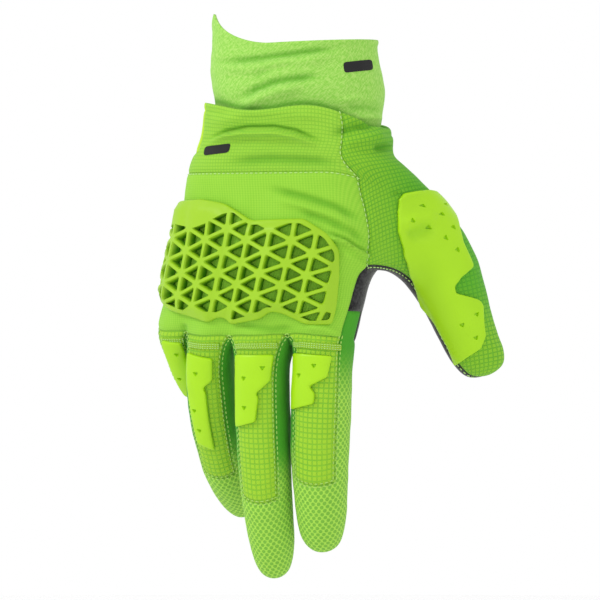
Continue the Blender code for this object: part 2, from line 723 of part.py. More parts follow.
def lattice_holes(window):
    """The triangular holes of the guard: staggered columns, each triangle on one column's side."""
    left = min(x for x, _ in window)
    right = max(x for x, _ in window)
    top = min(y for _, y in window)
    bottom = max(y for _, y in window)
    column = int(left / GUARD_COLUMN) - 1
    while column * GUARD_COLUMN < right:
        x = column * GUARD_COLUMN
        row = int(top / GUARD_PITCH) - 2
        while row * GUARD_PITCH < bottom:
            near = (row + (0.5 if column % 2 else 0.0)) * GUARD_PITCH
            far = near + GUARD_PITCH / 2
            yield [(x, near), (x, near + GUARD_PITCH), (x + GUARD_COLUMN, far)]
            yield [(x + GUARD_COLUMN, far), (x + GUARD_COLUMN, far - GUARD_PITCH), (x, near)]
            row += 1
        column += 1


def inset(corners, distance):
    """A triangle with each side moved in by a distance."""
    points = [Vector(corner).to_3d() for corner in corners]
    lengths = [(points[(i + 1) % 3] - points[(i + 2) % 3]).length for i in range(3)]
    centre = sum((p * w for p, w in zip(points, lengths)), Vector()) / sum(lengths)
    area = (points[1] - points[0]).cross(points[2] - points[0]).length / 2
    radius = 2 * area / sum(lengths)
    return [centre + (point - centre) * (1 - distance / radius) for point in points]


def inside(spot, outline):
    x, y = spot
    crossings = False
    for (x1, y1), (x2, y2) in zip(outline, outline[1:] + outline[:1]):
        if (y1 > y) != (y2 > y) and x < x1 + (y - y1) * (x2 - x1) / (y2 - y1):
            crossings = not crossings
    return crossings


def plain_object(name, mesh):
    result = bpy.data.meshes.new(name)
    mesh.to_mesh(result)
    mesh.free()
    obj = bpy.data.objects.new(name, result)
    bpy.context.collection.objects.link(obj)
    return obj


def cut(target, operation, other):
    step = target.modifiers.new("cut", "BOOLEAN")
    step.operation = operation
    step.object = other
    graph = bpy.context.evaluated_depsgraph_get()
    result = bpy.data.meshes.new_from_object(target.evaluated_get(graph))
    target.modifiers.clear()
    target.data = result


def taller(obj):
    """The window's prism, made to reach past both faces of the plate."""
    for vertex in obj.data.vertices:
        vertex.co.z = vertex.co.z * 4.0 - 1.5
    return obj


def build_guard(skin, rows):
    columns = [BODY_COLUMNS - 1] + list(range(10))
    sheet = Sheet(skin, [[ring[column] for column in columns] for ring in rows], 12)
    outline = [(x * HAND_BREADTH, y * HAND_LENGTH) for x, y in GUARD_OUTLINE]
    window = [(x * HAND_BREADTH, y * HAND_LENGTH) for x, y in GUARD_WINDOW]
    plate = plain_object("guard_plate", flat_plate(outline))
    frame = plain_object("guard_window", flat_plate(window))
    holes = bmesh.new()
    for corners in lattice_holes(window):
        middle = sum((Vector(corner) for corner in corners), Vector((0.0, 0.0))) / 3
        if not inside(middle, window):
            continue
        corners = inset(corners, GUARD_STRUT / 2)
        lower = [holes.verts.new((c.x, c.y, -0.5)) for c in corners]
        upper = [holes.verts.new((c.x, c.y, 1.5)) for c in corners]
        holes.faces.new(lower)
        holes.faces.new(upper)
        for step in range(3):
            after = (step + 1) % 3
            holes.faces.new([lower[step], upper[step], upper[after], lower[after]])
    bmesh.ops.recalc_face_normals(holes, faces=holes.faces[:])
    cutters = plain_object("guard_holes", holes)
    cut(cutters, "INTERSECT", taller(frame))
    cut(plate, "DIFFERENCE", cutters)
    mesh = bmesh.new()
    mesh.from_mesh(plate.data)
    bmesh.ops.remove_doubles(mesh, verts=mesh.verts[:], dist=1e-5)

    def height(across, along, level):
        if level < 0.5:
            return GUARD_SEAT
        edge = min((Vector((across, along)) - Vector(point)).length for point in outline)
        return GUARD_SEAT + (GUARD_RIM_WALL if edge < RIM_REACH else GUARD_WALL)

    bmesh.ops.triangulate(mesh, faces=mesh.faces[:])
    for bend in GUARD_BENDS:
        slice_at(mesh, 0, bend * HAND_BREADTH)
    bend_onto(mesh, sheet, height)
    add_object("knuckle_guard", finished(mesh, "knuckle_guard"), "guard", 0.5)
    for helper in (plate, frame, cutters):
        bpy.data.objects.remove(helper)


def cuff_top(angle):
    """The cuff's upper edge: it rises towards the thumb and peaks at the little finger's side."""
    nearness = max(0.0, 1.0 - abs(angle - CUFF_PEAK_ANGLE) / CUFF_PEAK_SPREAD)
    return CUFF_PEAK * nearness ** 2.6 + CUFF_RISE * (1.0 + cos(radians(angle))) / 2


def build_cuff():
    mesh = bmesh.new()
    walls = []
    for inner in (0.0, CUFF_WALL):
        rings = []
        for shape in CUFF_RINGS:
            ring = []
            for side in range(CUFF_SIDES):
                angle = 360.0 * side / CUFF_SIDES
                x, y = cos(radians(angle)), sin(radians(angle))
                foot = ring_height(BODY[0], x, (1.0 - y) / 2) - CUFF_TUCK
                z = mix(cuff_top(angle), foot, shape.down)
                ring.append(mesh.verts.new((
                    BODY[0].middle_x * HAND_BREADTH * shape.down
                    + (shape.breadth * CUFF_BREADTH / 2 - inner) * x,
                    -(shape.depth * CUFF_DEPTH / 2 - inner) * y, z)))
            rings.append(ring)
        walls.append(rings)
    outer, inner = walls

    def band(upper, lower):
        for side in range(CUFF_SIDES):
            after = (side + 1) % CUFF_SIDES
            mesh.faces.new([upper[side], upper[after], lower[after], lower[side]])

    for upper, lower in zip(outer, outer[1:]):
        band(upper, lower)
    for upper, lower in zip(inner, inner[1:]):
        band(lower, upper)
    band(inner[0], outer[0])
    band(outer[-1], inner[-1])
    add_object("cuff", finished(mesh, "cuff"), "cuff")


def main():
    remove_everything()
    cage, rows, paths, finger_rings, thumb_rings = build_cage()
    skin = Skin(cage)
    build_panels(skin)
    build_patches(skin, paths, finger_rings, thumb_rings)
    build_guard(skin, rows)
    build_cuff()


main()
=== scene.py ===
# Motocross glove for the right hand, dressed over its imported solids.
# Metres, +Z up, fingers down. The back of the hand faces -Y and the thumb is at +X.
from collections import namedtuple
from math import cos, pi, radians, sin

import bmesh
import bpy
import numpy as np
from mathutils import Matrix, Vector
from mathutils.bvhtree import BVHTree
from mathutils.geometry import barycentric_transform
from mathutils.kdtree import KDTree


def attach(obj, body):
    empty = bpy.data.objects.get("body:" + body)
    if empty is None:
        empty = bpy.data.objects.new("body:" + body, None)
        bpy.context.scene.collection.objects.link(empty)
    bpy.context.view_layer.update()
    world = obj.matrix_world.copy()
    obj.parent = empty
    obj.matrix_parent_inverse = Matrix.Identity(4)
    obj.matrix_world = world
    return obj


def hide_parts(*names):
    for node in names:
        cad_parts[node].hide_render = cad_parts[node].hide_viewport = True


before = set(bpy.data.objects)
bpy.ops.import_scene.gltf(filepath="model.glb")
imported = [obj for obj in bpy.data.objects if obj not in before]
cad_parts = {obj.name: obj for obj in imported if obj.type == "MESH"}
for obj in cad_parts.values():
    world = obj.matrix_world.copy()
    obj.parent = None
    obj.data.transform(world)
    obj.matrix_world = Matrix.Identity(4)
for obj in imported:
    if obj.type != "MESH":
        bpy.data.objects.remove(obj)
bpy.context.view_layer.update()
mm = 0.001
viewTurn = radians(20)  # the photo looks at the back of the hand from 20 degrees round
viewSide = Vector((cos(viewTurn), sin(viewTurn), 0.0))
viewAhead = Vector((-sin(viewTurn), cos(viewTurn), 0.0))


def addNode(tree, kind, settings, values):
    made = tree.nodes.new(kind)
    for key, value in (settings or {}).items():
        setattr(made, key, value)
    for key, value in values.items() if isinstance(values, dict) else enumerate(values or ()):
        value = getattr(value, "socket", value)
        if isinstance(value, bpy.types.NodeSocket):
            tree.links.new(value, made.inputs[key])
        else:
            made.inputs[key].default_value = value
    return made


def linked(name, data):
    made = bpy.data.objects.new(name, data)
    bpy.context.collection.objects.link(made)
    return made


def finished(obj):  # the mesh as the object's modifiers leave it
    graph = bpy.context.evaluated_depsgraph_get()
    return bpy.data.meshes.new_from_object(obj.evaluated_get(graph))


# Materials: a wire is one socket, and sums on wires add their nodes

class Wire:
    def __init__(self, finish, socket):
        self.finish, self.socket = finish, socket

    def calc(self, operation, *others):
        return self.finish.node("ShaderNodeMath", {"operation": operation}, [self, *others])

    def __add__(self, other):
        return self.calc("ADD", other)

    def __sub__(self, other):
        return self.calc("SUBTRACT", other)

    def __rsub__(self, other):
        return self.finish.node("ShaderNodeMath", {"operation": "SUBTRACT"}, [other, self])

    def __mul__(self, other):
        return self.calc("MULTIPLY", other)

    def __truediv__(self, other):
        return self.calc("DIVIDE", other)

    __radd__, __rmul__ = __add__, __mul__

    def step(self, low, high):  # smooth from 0 at low to 1 at high
        return self.finish.node("ShaderNodeMapRange", {"interpolation_type": "SMOOTHSTEP"},
                                {"Value": self, "From Min": low, "From Max": high})


class Finish:
    def __init__(self, name, **values):
        self.material = bpy.data.materials.new(name)
        self.material.use_nodes = True
        self.tree = self.material.node_tree
        self.shader = self.tree.nodes["Principled BSDF"]
        for socket, value in values.items():
            self.shader.inputs[socket.replace("_", " ")].default_value = value

    def node(self, kind, settings=None, values=(), output=0):
        return Wire(self, addNode(self.tree, kind, settings, values).outputs[output])

    def feed(self, socket, wire):
        self.tree.links.new(wire.socket, self.shader.inputs[socket])

    def blend(self, share, first, second, kind="MIX"):
        return self.node("ShaderNodeMix", {"data_type": "RGBA", "blend_type": kind},
                         {0: share, 6: first, 7: second}, 2)

    def place(self):
        return self.node("ShaderNodeTexCoord", output=3)

    def flat(self, name="flat"):
        return self.node("ShaderNodeUVMap", {"uv_map": name})

    def split(self, vector):
        made = self.node("ShaderNodeSeparateXYZ", {}, [vector])
        return made, Wire(self, made.socket.node.outputs[1])

    def noise(self, vector, scale, detail=2.0, rough=0.5):
        return self.node("ShaderNodeTexNoise", {}, {"Vector": vector, "Scale": scale,
                                                    "Detail": detail, "Roughness": rough})

    def attribute(self, name):
        return self.node("ShaderNodeAttribute", {"attribute_name": name}, output=2)

    def bump(self, height, distance, strength=1.0):
        self.feed("Normal", self.node("ShaderNodeBump", {}, {
            "Strength": strength, "Distance": distance, "Height": height}))


paintHold = (0.84, 0.82, 0.52)  # white light lifts every colour, and blue the most


def linear(red, green, blue):  # a colour of 0 to 255 for each channel, as the shader wants it
    holds = (1.0, 1.0, 1.0) if red == green == blue else paintHold
    return tuple((((c / 255 + 0.055) / 1.055) ** 2.4 if c > 10 else c / 3294.6) * hold
                 for c, hold in zip((red, green, blue), holds)) + (1.0,)


# The skin: one cage of quads, made from the tables below, which every cloth panel is cut from

handSet = {
    "length": 0.1240, "breadth": 0.0940, "depth": 0.0400,  # opening to finger roots, knuckles, back to palm
    "roundness": 2.3, "littleEdge": 0.92, "wave": 0.0020, "waveLength": 1.45,
    "thumbRows": (4, 7), "thumbColumns": (9, 12),
    "fingerEnds": (0.0, 0.200, 0.445, 0.715, 1.0),
}
fingerSet = {
    "breadth": 0.0240, "backRings": 5, "bendJoints": (0.0, 0.40, 0.70), "bendSpread": 0.10,
    "angles": (138, 90, 42, -5, -48, -90, -132, -175), "webBack": 0.62, "webPalm": 0.70,
}
thumbSet = {
    "reach": 0.0440, "drop": 0.0690, "breadth": 0.0300, "root": (0.436, 0.36, 0.613),
    "heading": 38, "facing": 8,
    "angles": (140, 105, 75, 40, 13, -13, -40, -75, -105, -140, -167, 167),
}

BodyRing = namedtuple("BodyRing", "backZ palmZ littleZ thumbZ middleX middleY halfBreadth back palm "
                      "arch knuckle seam side palmEdge palmSeam wave")
bodyRings = [
    BodyRing(0.212, 0.25, 0.2, 0.29, 0.016, 0.0, 0.462, 0.63, 0.62, 0.0, 0.0, 0.6, 20, -12, 0.72, 1.0),
    BodyRing(0.262, 0.3, 0.25, 0.325, 0.022, 0.0, 0.482, 0.64, 0.61, 0.0, 0.0, 0.6, 20, -12, 0.72, 0.7),
    BodyRing(0.322, 0.345, 0.305, 0.358, 0.016, -0.01, 0.48, 0.57, 0.58, 0.02, 0.0, 0.58, 20, -12, 0.72, 0.0),
    BodyRing(0.378, 0.39, 0.365, 0.392, 0.006, -0.03, 0.505, 0.58, 0.56, 0.05, 0.0, 0.55, 20, -12, 0.72, 0.0),
    BodyRing(0.435, 0.44, 0.44, 0.42, 0.014, -0.06, 0.565, 0.49, 0.58, 0.08, 0.0, 0.52, 20, -15, 0.76, 0.0),
    BodyRing(0.54, 0.53, 0.53, 0.54, -0.04, -0.09, 0.524, 0.5, 0.64, 0.14, 0.005, 0.78, 5, -25, 0.62, 0.0),
    BodyRing(0.645, 0.66, 0.63, 0.65, -0.062, -0.13, 0.527, 0.52, 0.66, 0.2, 0.02, 0.91, 5, -25, 0.58, 0.0),
    BodyRing(0.742, 0.785, 0.735, 0.775, -0.098, -0.16, 0.53, 0.54, 0.6, 0.26, 0.05, 0.95, 0, -30, 0.62, 0.0),
    BodyRing(0.84, 0.88, 0.835, 0.85, -0.13, -0.18, 0.53, 0.53, 0.52, 0.3, 0.06, 0.95, 0, -30, 0.9, 0.0),
    BodyRing(0.925, 0.985, 0.915, 0.93, -0.152, -0.2, 0.532, 0.5, 0.46, 0.34, 0.035, 0.94, 0, -32, 0.9, 0.0),
]
FingerForm = namedtuple("FingerForm", "name length breadth depth across midDepth root fall facing splay "
                        "curls")
fingerForms = [
    FingerForm("little", 0.0780, 0.78, 0.76, -0.600, 0.03, 0.985, 0.00, -18, -1, (34, 30, 24)),
    FingerForm("ring", 0.1015, 0.92, 0.88, -0.394, -0.26, 1.010, 0.03, -2, -3, (18, 18, 20)),
    FingerForm("middle", 0.1125, 1.00, 0.98, -0.108, -0.35, 1.015, 0.05, -2, -2, (6, 8, 8)),
    FingerForm("index", 0.0995, 1.10, 0.98, 0.190, -0.28, 1.015, 0.04, 2, -4, (3, 9, 9)),
]
WebForm = namedtuple("WebForm", "top fall")
webForms = [WebForm(1.004, 0.01), WebForm(1.010, 0.05), WebForm(1.000, 0.07)]
FingerRing = namedtuple("FingerRing", "along breadth depth bow")
fingerRings = [
    FingerRing(0.120, 0.95, 0.98, 0.00),
    FingerRing(0.225, 1.00, 1.00, 0.00),
    FingerRing(0.350, 1.01, 0.98, 0.02),
    FingerRing(0.490, 0.98, 0.95, 0.08),
    FingerRing(0.640, 0.94, 0.92, 0.22),
    FingerRing(0.770, 0.89, 0.88, 0.16),
    FingerRing(0.885, 0.80, 0.80, 0.06),
    FingerRing(0.965, 0.56, 0.58, 0.00),
]
ThumbRing = namedtuple("ThumbRing", "out down breadth depth")
thumbRings = [
    ThumbRing(0.37, 0.165, 1.20, 1.00),
    ThumbRing(0.53, 0.335, 1.09, 0.90),
    ThumbRing(0.65, 0.500, 0.95, 0.83),
    ThumbRing(0.74, 0.650, 0.86, 0.78),
    ThumbRing(0.83, 0.790, 0.79, 0.72),
    ThumbRing(0.94, 0.900, 0.74, 0.62),
    ThumbRing(0.99, 0.965, 0.52, 0.42),
]


def mix(a, b, share):
    return a + (b - a) * share


def columnShares():
    shares = []
    for start, end in zip(handSet["fingerEnds"], handSet["fingerEnds"][1:]):
        shares += [start, (start + end) / 2]
    return shares + [1.0]


def ringHeight(ring, x, toPalm):
    edge = ring.littleZ if x < 0 else ring.thumbZ
    front, rear = mix(ring.backZ, edge, x * x), mix(ring.palmZ, edge, x * x)
    wave = ring.wave * (1.0 - toPalm) * cos(2 * pi * (x + 1.0) / handSet["waveLength"])
    return wave * handSet["wave"] - mix(front, rear, toPalm) * handSet["length"]


def bodyCorners(ring):
    breadth, depth, bend = handSet["breadth"], handSet["depth"], handSet["roundness"]
    shares = columnShares()

    def corner(x, side, knuckle=0.0):
        height = side * (1.0 - min(1.0, abs(x)) ** bend) ** (1.0 / bend)
        reach = (ring.back if side < 0 else ring.palm) * height + ring.arch * ((1.0 - x) / 2) ** 2
        return Vector(((ring.middleX + ring.halfBreadth * x) * breadth,
                       (ring.middleY + reach - knuckle) * depth, ringHeight(ring, x, (1.0 + height) / 2)))

    corners = [corner(-1.0, 1.0)]
    for index, share in enumerate(shares):
        bump = ring.knuckle if index % 2 else -ring.knuckle
        bump = 0.0 if index in (0, len(shares) - 1) else bump
        corners.append(corner(mix(-handSet["littleEdge"], ring.seam, share), -1.0, bump))
    corners.append(corner(cos(radians(ring.side)), -1.0 if ring.side > 0 else 1.0))
    for index, share in enumerate(reversed(shares)):
        spot = mix(-handSet["littleEdge"], cos(radians(ring.palmEdge)), share)
        corners.append(corner(ring.palmSeam if index == 1 else spot, 1.0))
    return corners


class FingerPath:
    def __init__(self, form):
        self.form = form
        facing, splay = radians(form.facing), radians(form.splay)
        self.back = Vector((sin(facing), -cos(facing), 0.0))
        side, up = Vector((cos(facing), sin(facing), 0.0)), Vector((0.0, 0.0, 1.0))
        self.down = side * sin(splay) - up * cos(splay)
        self.side = side * cos(splay) + up * sin(splay)
        self.root = Vector((form.across * handSet["breadth"], form.midDepth * handSet["depth"],
                            -form.root * handSet["length"]))
        self.halfBreadth = form.breadth * fingerSet["breadth"] / 2
        self.halfDepth = form.depth * fingerSet["breadth"] / 2

    def curl(self, along):
        total = 0.0
        for joint, angle in zip(fingerSet["bendJoints"], self.form.curls):
            share = (along - joint + fingerSet["bendSpread"]) / (2 * fingerSet["bendSpread"])
            total += angle * min(1.0, max(0.0, share))
        return radians(total)

    def frame(self, along):  # the axis's point, its direction and the finger's back there
        point, steps = self.root.copy(), 60
        for index in range(int(round(along * steps))):
            bend = self.curl((index + 0.5) / steps)
            point += (self.down * cos(bend) - self.back * sin(bend)) * self.form.length / steps
        bend = self.curl(along)
        return (point, self.down * cos(bend) - self.back * sin(bend),
                self.back * cos(bend) + self.down * sin(bend))


def controlScale(corners):  # how much larger a ring of control points is than its smooth round
    return 3.0 / (2.0 + cos(radians(360.0 / corners)))


class Cage:
    def __init__(self):
        self.points, self.quads, self.panels, self.flats = [], [], [], []

    def add(self, point):
        self.points.append(point)
        return len(self.points) - 1

    def quad(self, corners, panel, flat):
        self.quads.append(tuple(corners))
        self.panels.append(panel)
        self.flats.append(flat)

    def reach(self, ring, middle):  # where each column starts and ends, round from the middle one
        count, spans = len(ring), {}
        shrink = pi / count / (sin(pi / count) * controlScale(count))
        for way, columns in ((1, range(count // 2)), (-1, range(1, count - count // 2 + 1))):
            place = 0.0
            for step in columns:
                column = (middle + way * step) % count
                gap = self.points[ring[(column + 1) % count]] - self.points[ring[column]]
                after = place + way * gap.length * shrink
                spans[column] = (min(place, after), max(place, after))
                place = after
        return spans

    def sleeve(self, upper, lower, panelOf, middle, top, bottom):
        high, low = self.reach(upper, middle), self.reach(lower, middle)
        for column in range(len(upper)):
            after = (column + 1) % len(upper)
            if upper[column] is None or lower[column] is None:
                continue
            self.quad((upper[column], lower[column], lower[after], upper[after]), panelOf(column),
                      ((high[column][0], top), (low[column][0], bottom),
                       (low[column][1], bottom), (high[column][1], top)))

    def cap(self, ring, tip, panelOf, middle, top, bottom):
        spans = self.reach(ring, middle)
        for column in range(0, len(ring), 2):
            corners = [ring[(column + step) % len(ring)] for step in range(3)]
            first, second = spans[column], spans[(column + 1) % len(ring)]
            self.quad((corners[0], tip, corners[2], corners[1]), panelOf(column),
                      ((first[0], top), (first[1] * 0.5, bottom), (second[1], top), (first[1], top)))


def bodyPanel(row, column):
    top = handSet["thumbRows"][0]
    if row < top:
        if column == 0 and row < 3:
            return "ulnar_insert"
        if 9 <= column <= 11:
            return "thumb_gusset"
        return "wrist_back" if column <= 8 else "wrist_palm"
    if column <= 8:
        return "hand_back"
    return "index_fourchette" if column == 9 and row == len(bodyRings) - 1 else "palm"


def fingerPanel(name, row):
    def panelOf(column):
        if column in (4, 5):
            return name + "_palm"
        return name + ("_back" if column in (0, 1) and row < fingerSet["backRings"] else "_fourchette")
    return panelOf


def rootRing(cage, paths):
    scale = controlScale(len(fingerSet["angles"]))
    length = handSet["length"]
    back, palm, webs = {}, {}, {}
    for index, path in enumerate(paths):
        _, heading, lift = path.frame(0.0)
        lift = lift * path.halfDepth * scale
        back[2 * index + 1] = path.root + lift
        palm[2 * index + 1] = path.root - lift + heading * path.form.fall * length
    for index, web in enumerate(webForms):
        left, right = paths[index], paths[index + 1]
        lift = (left.back * left.halfDepth + right.back * right.halfDepth) / 2
        for corners, stand, share in ((back, fingerSet["webBack"], 0.0), (webs, 0.0, 0.5),
                                      (palm, -fingerSet["webPalm"], 1.0)):
            corners[2 * index + 2] = (left.root + right.root) / 2 + lift * stand
            corners[2 * index + 2].z = -(web.top + web.fall * share) * length
    for at, path, side in ((0, paths[0], -1.0), (8, paths[-1], 1.0)):
        _, heading, lift = path.frame(0.0)
        lift = lift * path.halfDepth * scale
        out = path.side * path.halfBreadth * side * scale
        fall = heading * path.form.fall * length
        back[at] = path.root + (out + lift) * cos(radians(45))
        webs[at] = path.root + out + fall / 2
        palm[at] = path.root + (out - lift) * cos(radians(45)) + fall
    back = {at: cage.add(point) for at, point in back.items()}
    palm = {at: cage.add(point) for at, point in palm.items()}
    webs = {at: cage.add(point) for at, point in webs.items()}
    ring = [webs[0]] + [back[at] for at in range(9)] + [webs[8]] + [palm[8 - at] for at in range(9)]
    rings = [[back[i], back[i + 1], back[i + 2], webs[i + 2], palm[i + 2], palm[i + 1], palm[i], webs[i]]
             for i in range(0, 8, 2)]
    return ring, rings


def addFinger(cage, path, ring):
    scale, rings, before = controlScale(len(fingerSet["angles"])), [ring], 0.0
    for row, shape in enumerate(fingerRings):
        point, heading, back = path.frame(shape.along)
        corners = []
        for angle in fingerSet["angles"]:
            rise = sin(radians(angle))
            ahead = shape.bow * (2.0 * max(0.0, rise) ** 2 - 1.0) * path.halfBreadth
            corners.append(cage.add(
                point + path.side * cos(radians(angle)) * path.halfBreadth * shape.breadth * scale
                + back * rise * path.halfDepth * shape.depth * scale + heading * ahead))
        cage.sleeve(ring, corners, fingerPanel(path.form.name, row), 1,
                    before * path.form.length, shape.along * path.form.length)
        before, ring = shape.along, corners
        rings.append(ring)
    point, heading, back = path.frame(1.0)
    tip = cage.add(point + heading * path.halfDepth * 0.12)
    cage.cap(ring, tip, fingerPanel(path.form.name, len(fingerRings)), 1,
             before * path.form.length, path.form.length)
    return rings


def thumbPoint(out, down):
    heading = radians(thumbSet["heading"])
    x, y, z = thumbSet["root"]
    return Vector((x * handSet["breadth"] + out * thumbSet["reach"] * cos(heading),
                   y * handSet["depth"] + out * thumbSet["reach"] * sin(heading),
                   -z * handSet["length"] - down * thumbSet["drop"]))


def addThumb(cage, rows):
    top, bottom = handSet["thumbRows"]
    first, last = handSet["thumbColumns"]
    ring = [rows[row][first] for row in range(bottom, top - 1, -1)]
    ring += [rows[top][column] for column in range(first + 1, last + 1)]
    ring += [rows[row][last] for row in range(top + 1, bottom + 1)]
    ring += [rows[bottom][column] for column in range(last - 1, first, -1)]
    scale, facing = controlScale(len(thumbSet["angles"])), radians(thumbSet["facing"])
    towards = Vector((sin(facing), -cos(facing), 0.0))
    centres = [thumbPoint(*ends) for ends in ((0.0, 0.0), *((s.out, s.down) for s in thumbRings), (1.0, 1.0))]
    rings, along = [ring], 0.0

    def panelOf(column):
        return "thumb_gusset" if column < 6 else "thumb_palm"

    for index, shape in enumerate(thumbRings, start=1):
        heading = (centres[index + 1] - centres[index - 1]).normalized()
        back = (towards - heading * towards.dot(heading)).normalized()
        side = back.cross(heading)
        corners = []
        for angle in thumbSet["angles"]:
            reach = side * cos(radians(angle)) * shape.breadth + back * sin(radians(angle)) * shape.depth
            corners.append(cage.add(centres[index] + reach * scale * thumbSet["breadth"] / 2))
        step = (centres[index] - centres[index - 1]).length
        cage.sleeve(ring, corners, panelOf, 2, along, along + step)
        along, ring = along + step, corners
        rings.append(ring)
    cage.cap(ring, cage.add(centres[-1]), panelOf, 2, along, along + 0.004)
    return rings


def buildCage():
    cage = Cage()
    top, bottom = handSet["thumbRows"]
    first, last = handSet["thumbColumns"]
    rows = []
    for index, shape in enumerate(bodyRings):
        inside = range(first + 1, last) if top < index < bottom else ()
        rows.append([None if column in inside else cage.add(point)
                     for column, point in enumerate(bodyCorners(shape))])
    paths = [FingerPath(form) for form in fingerForms]
    ring, starts = rootRing(cage, paths)
    rows.append(ring)
    along = 0.0
    for row, (upper, lower) in enumerate(zip(rows, rows[1:])):
        step = (cage.points[lower[5]] - cage.points[upper[5]]).length
        solid = [[v if v is not None else ring_[0] for v in ring_] for ring_ in (upper, lower)]
        high, low = cage.reach(solid[0], 5), cage.reach(solid[1], 5)
        for column in range(20):
            if top <= row < bottom and first <= column < last:
                continue
            after = (column + 1) % 20
            cage.quad((upper[column], lower[column], lower[after], upper[after]), bodyPanel(row, column),
                      ((high[column][0], along), (low[column][0], along + step),
                       (low[column][1], along + step), (high[column][1], along)))
        along += step
    thumb = addThumb(cage, rows)
    fingers = [addFinger(cage, path, start) for path, start in zip(paths, starts)]
    return cage, rows, paths, fingers, thumb


def flatten(cage, panel, heading):  # lays a panel's quads out flat along one heading, with little stretch
    mine = [index for index, name in enumerate(cage.panels) if name == panel]
    corners = sorted({vertex for index in mine for vertex in cage.quads[index]})
    place = {vertex: k for k, vertex in enumerate(corners)}
    rows, goals = [], []
    for index in mine:
        quad = cage.quads[index]
        points = [cage.points[vertex] for vertex in quad]
        normal = (points[2] - points[0]).cross(points[3] - points[1]).normalized()
        along = (heading - normal * heading.dot(normal)).normalized()
        across = along.cross(normal)
        for a, b in ((0, 1), (1, 2), (2, 3), (3, 0)):
            row, way = np.zeros(len(corners)), points[b] - points[a]
            row[place[quad[a]]] -= 1.0
            row[place[quad[b]]] += 1.0
            rows.append(row)
            goals.append((way.dot(across), way.dot(along)))
    laid = np.linalg.lstsq(np.array(rows), np.array(goals), rcond=None)[0]
    for index in mine:
        cage.flats[index] = tuple(tuple(laid[place[vertex]]) for vertex in cage.quads[index])


class Skin:
    def __init__(self, cage, level):
        mesh = bpy.data.meshes.new("cage")
        mesh.from_pydata(cage.points, [], cage.quads)
        names = list(dict.fromkeys(cage.panels))
        label = mesh.attributes.new("panel", "INT", "FACE")
        label.data.foreach_set("value", [names.index(panel) for panel in cage.panels])
        flat = mesh.uv_layers.new(name="flat")
        flat.data.foreach_set("uv", [value for quad in cage.flats for pair in quad for value in pair])
        self.edges = {tuple(sorted(edge.vertices)): (edge.index, edge.vertices[0]) for edge in mesh.edges}
        self.quadOf = {frozenset(corners): index for index, corners in enumerate(cage.quads)}
        self.corners, self.level = len(cage.points), level
        holder = linked("cage", mesh)
        smooth = holder.modifiers.new("smooth", "SUBSURF")
        smooth.levels = smooth.render_levels = level
        fine = finished(holder)
        count, faces = len(fine.vertices), len(fine.polygons)
        self.names = names
        self.points = np.empty(count * 3)
        fine.vertices.foreach_get("co", self.points)
        self.points = self.points.reshape(-1, 3)
        self.quads = np.empty(faces * 4, dtype=np.int64)
        fine.loops.foreach_get("vertex_index", self.quads)
        self.quads = self.quads.reshape(-1, 4)
        self.flats = np.empty(faces * 8)
        fine.uv_layers["flat"].data.foreach_get("uv", self.flats)
        self.flats = self.flats.reshape(-1, 4, 2)
        self.panel = np.empty(faces, dtype=np.int64)
        fine.attributes["panel"].data.foreach_get("value", self.panel)
        bpy.data.objects.remove(holder)
        bpy.data.meshes.remove(fine)
        self.refresh()

    def refresh(self):
        a, b, c, d = (self.points[self.quads[:, k]] for k in range(4))
        faceNormals = np.cross(c - a, d - b)
        self.normals = np.zeros_like(self.points)
        for k in range(4):
            np.add.at(self.normals, self.quads[:, k], faceNormals)
        self.normals /= np.maximum(np.linalg.norm(self.normals, axis=1, keepdims=True), 1e-12)

    def line(self, a, b):  # the smooth points along one edge of the cage, from a to b
        inner = 2 ** self.level - 1
        edge, start = self.edges[tuple(sorted((a, b)))]
        run = [self.corners + edge * inner + k for k in range(inner)]
        return [a] + (run if start == a else run[::-1]) + [b]

    def path(self, chain):
        found = []
        for a, b in zip(chain, chain[1:]):
            found += self.line(a, b)[:-1]
        return found + [chain[-1]]

    def borders(self):  # the edges of the fine quads that two panels share, or that one ends at
        sides = {}
        for k in range(4):
            start, end = self.quads[:, k], self.quads[:, (k + 1) % 4]
            for low, high, face in zip(np.minimum(start, end), np.maximum(start, end), self.panel):
                sides.setdefault((int(low), int(high)), []).append(int(face))
        seams = [side for side, faces in sides.items() if len(faces) == 2 and faces[0] != faces[1]]
        free = [side for side, faces in sides.items() if len(faces) == 1]
        return seams, free


def photoPlace(points):  # how far each point's place in the photo lies across and down, in mm
    side = np.array(viewSide)
    return points @ side / mm, -points[:, 2] / mm


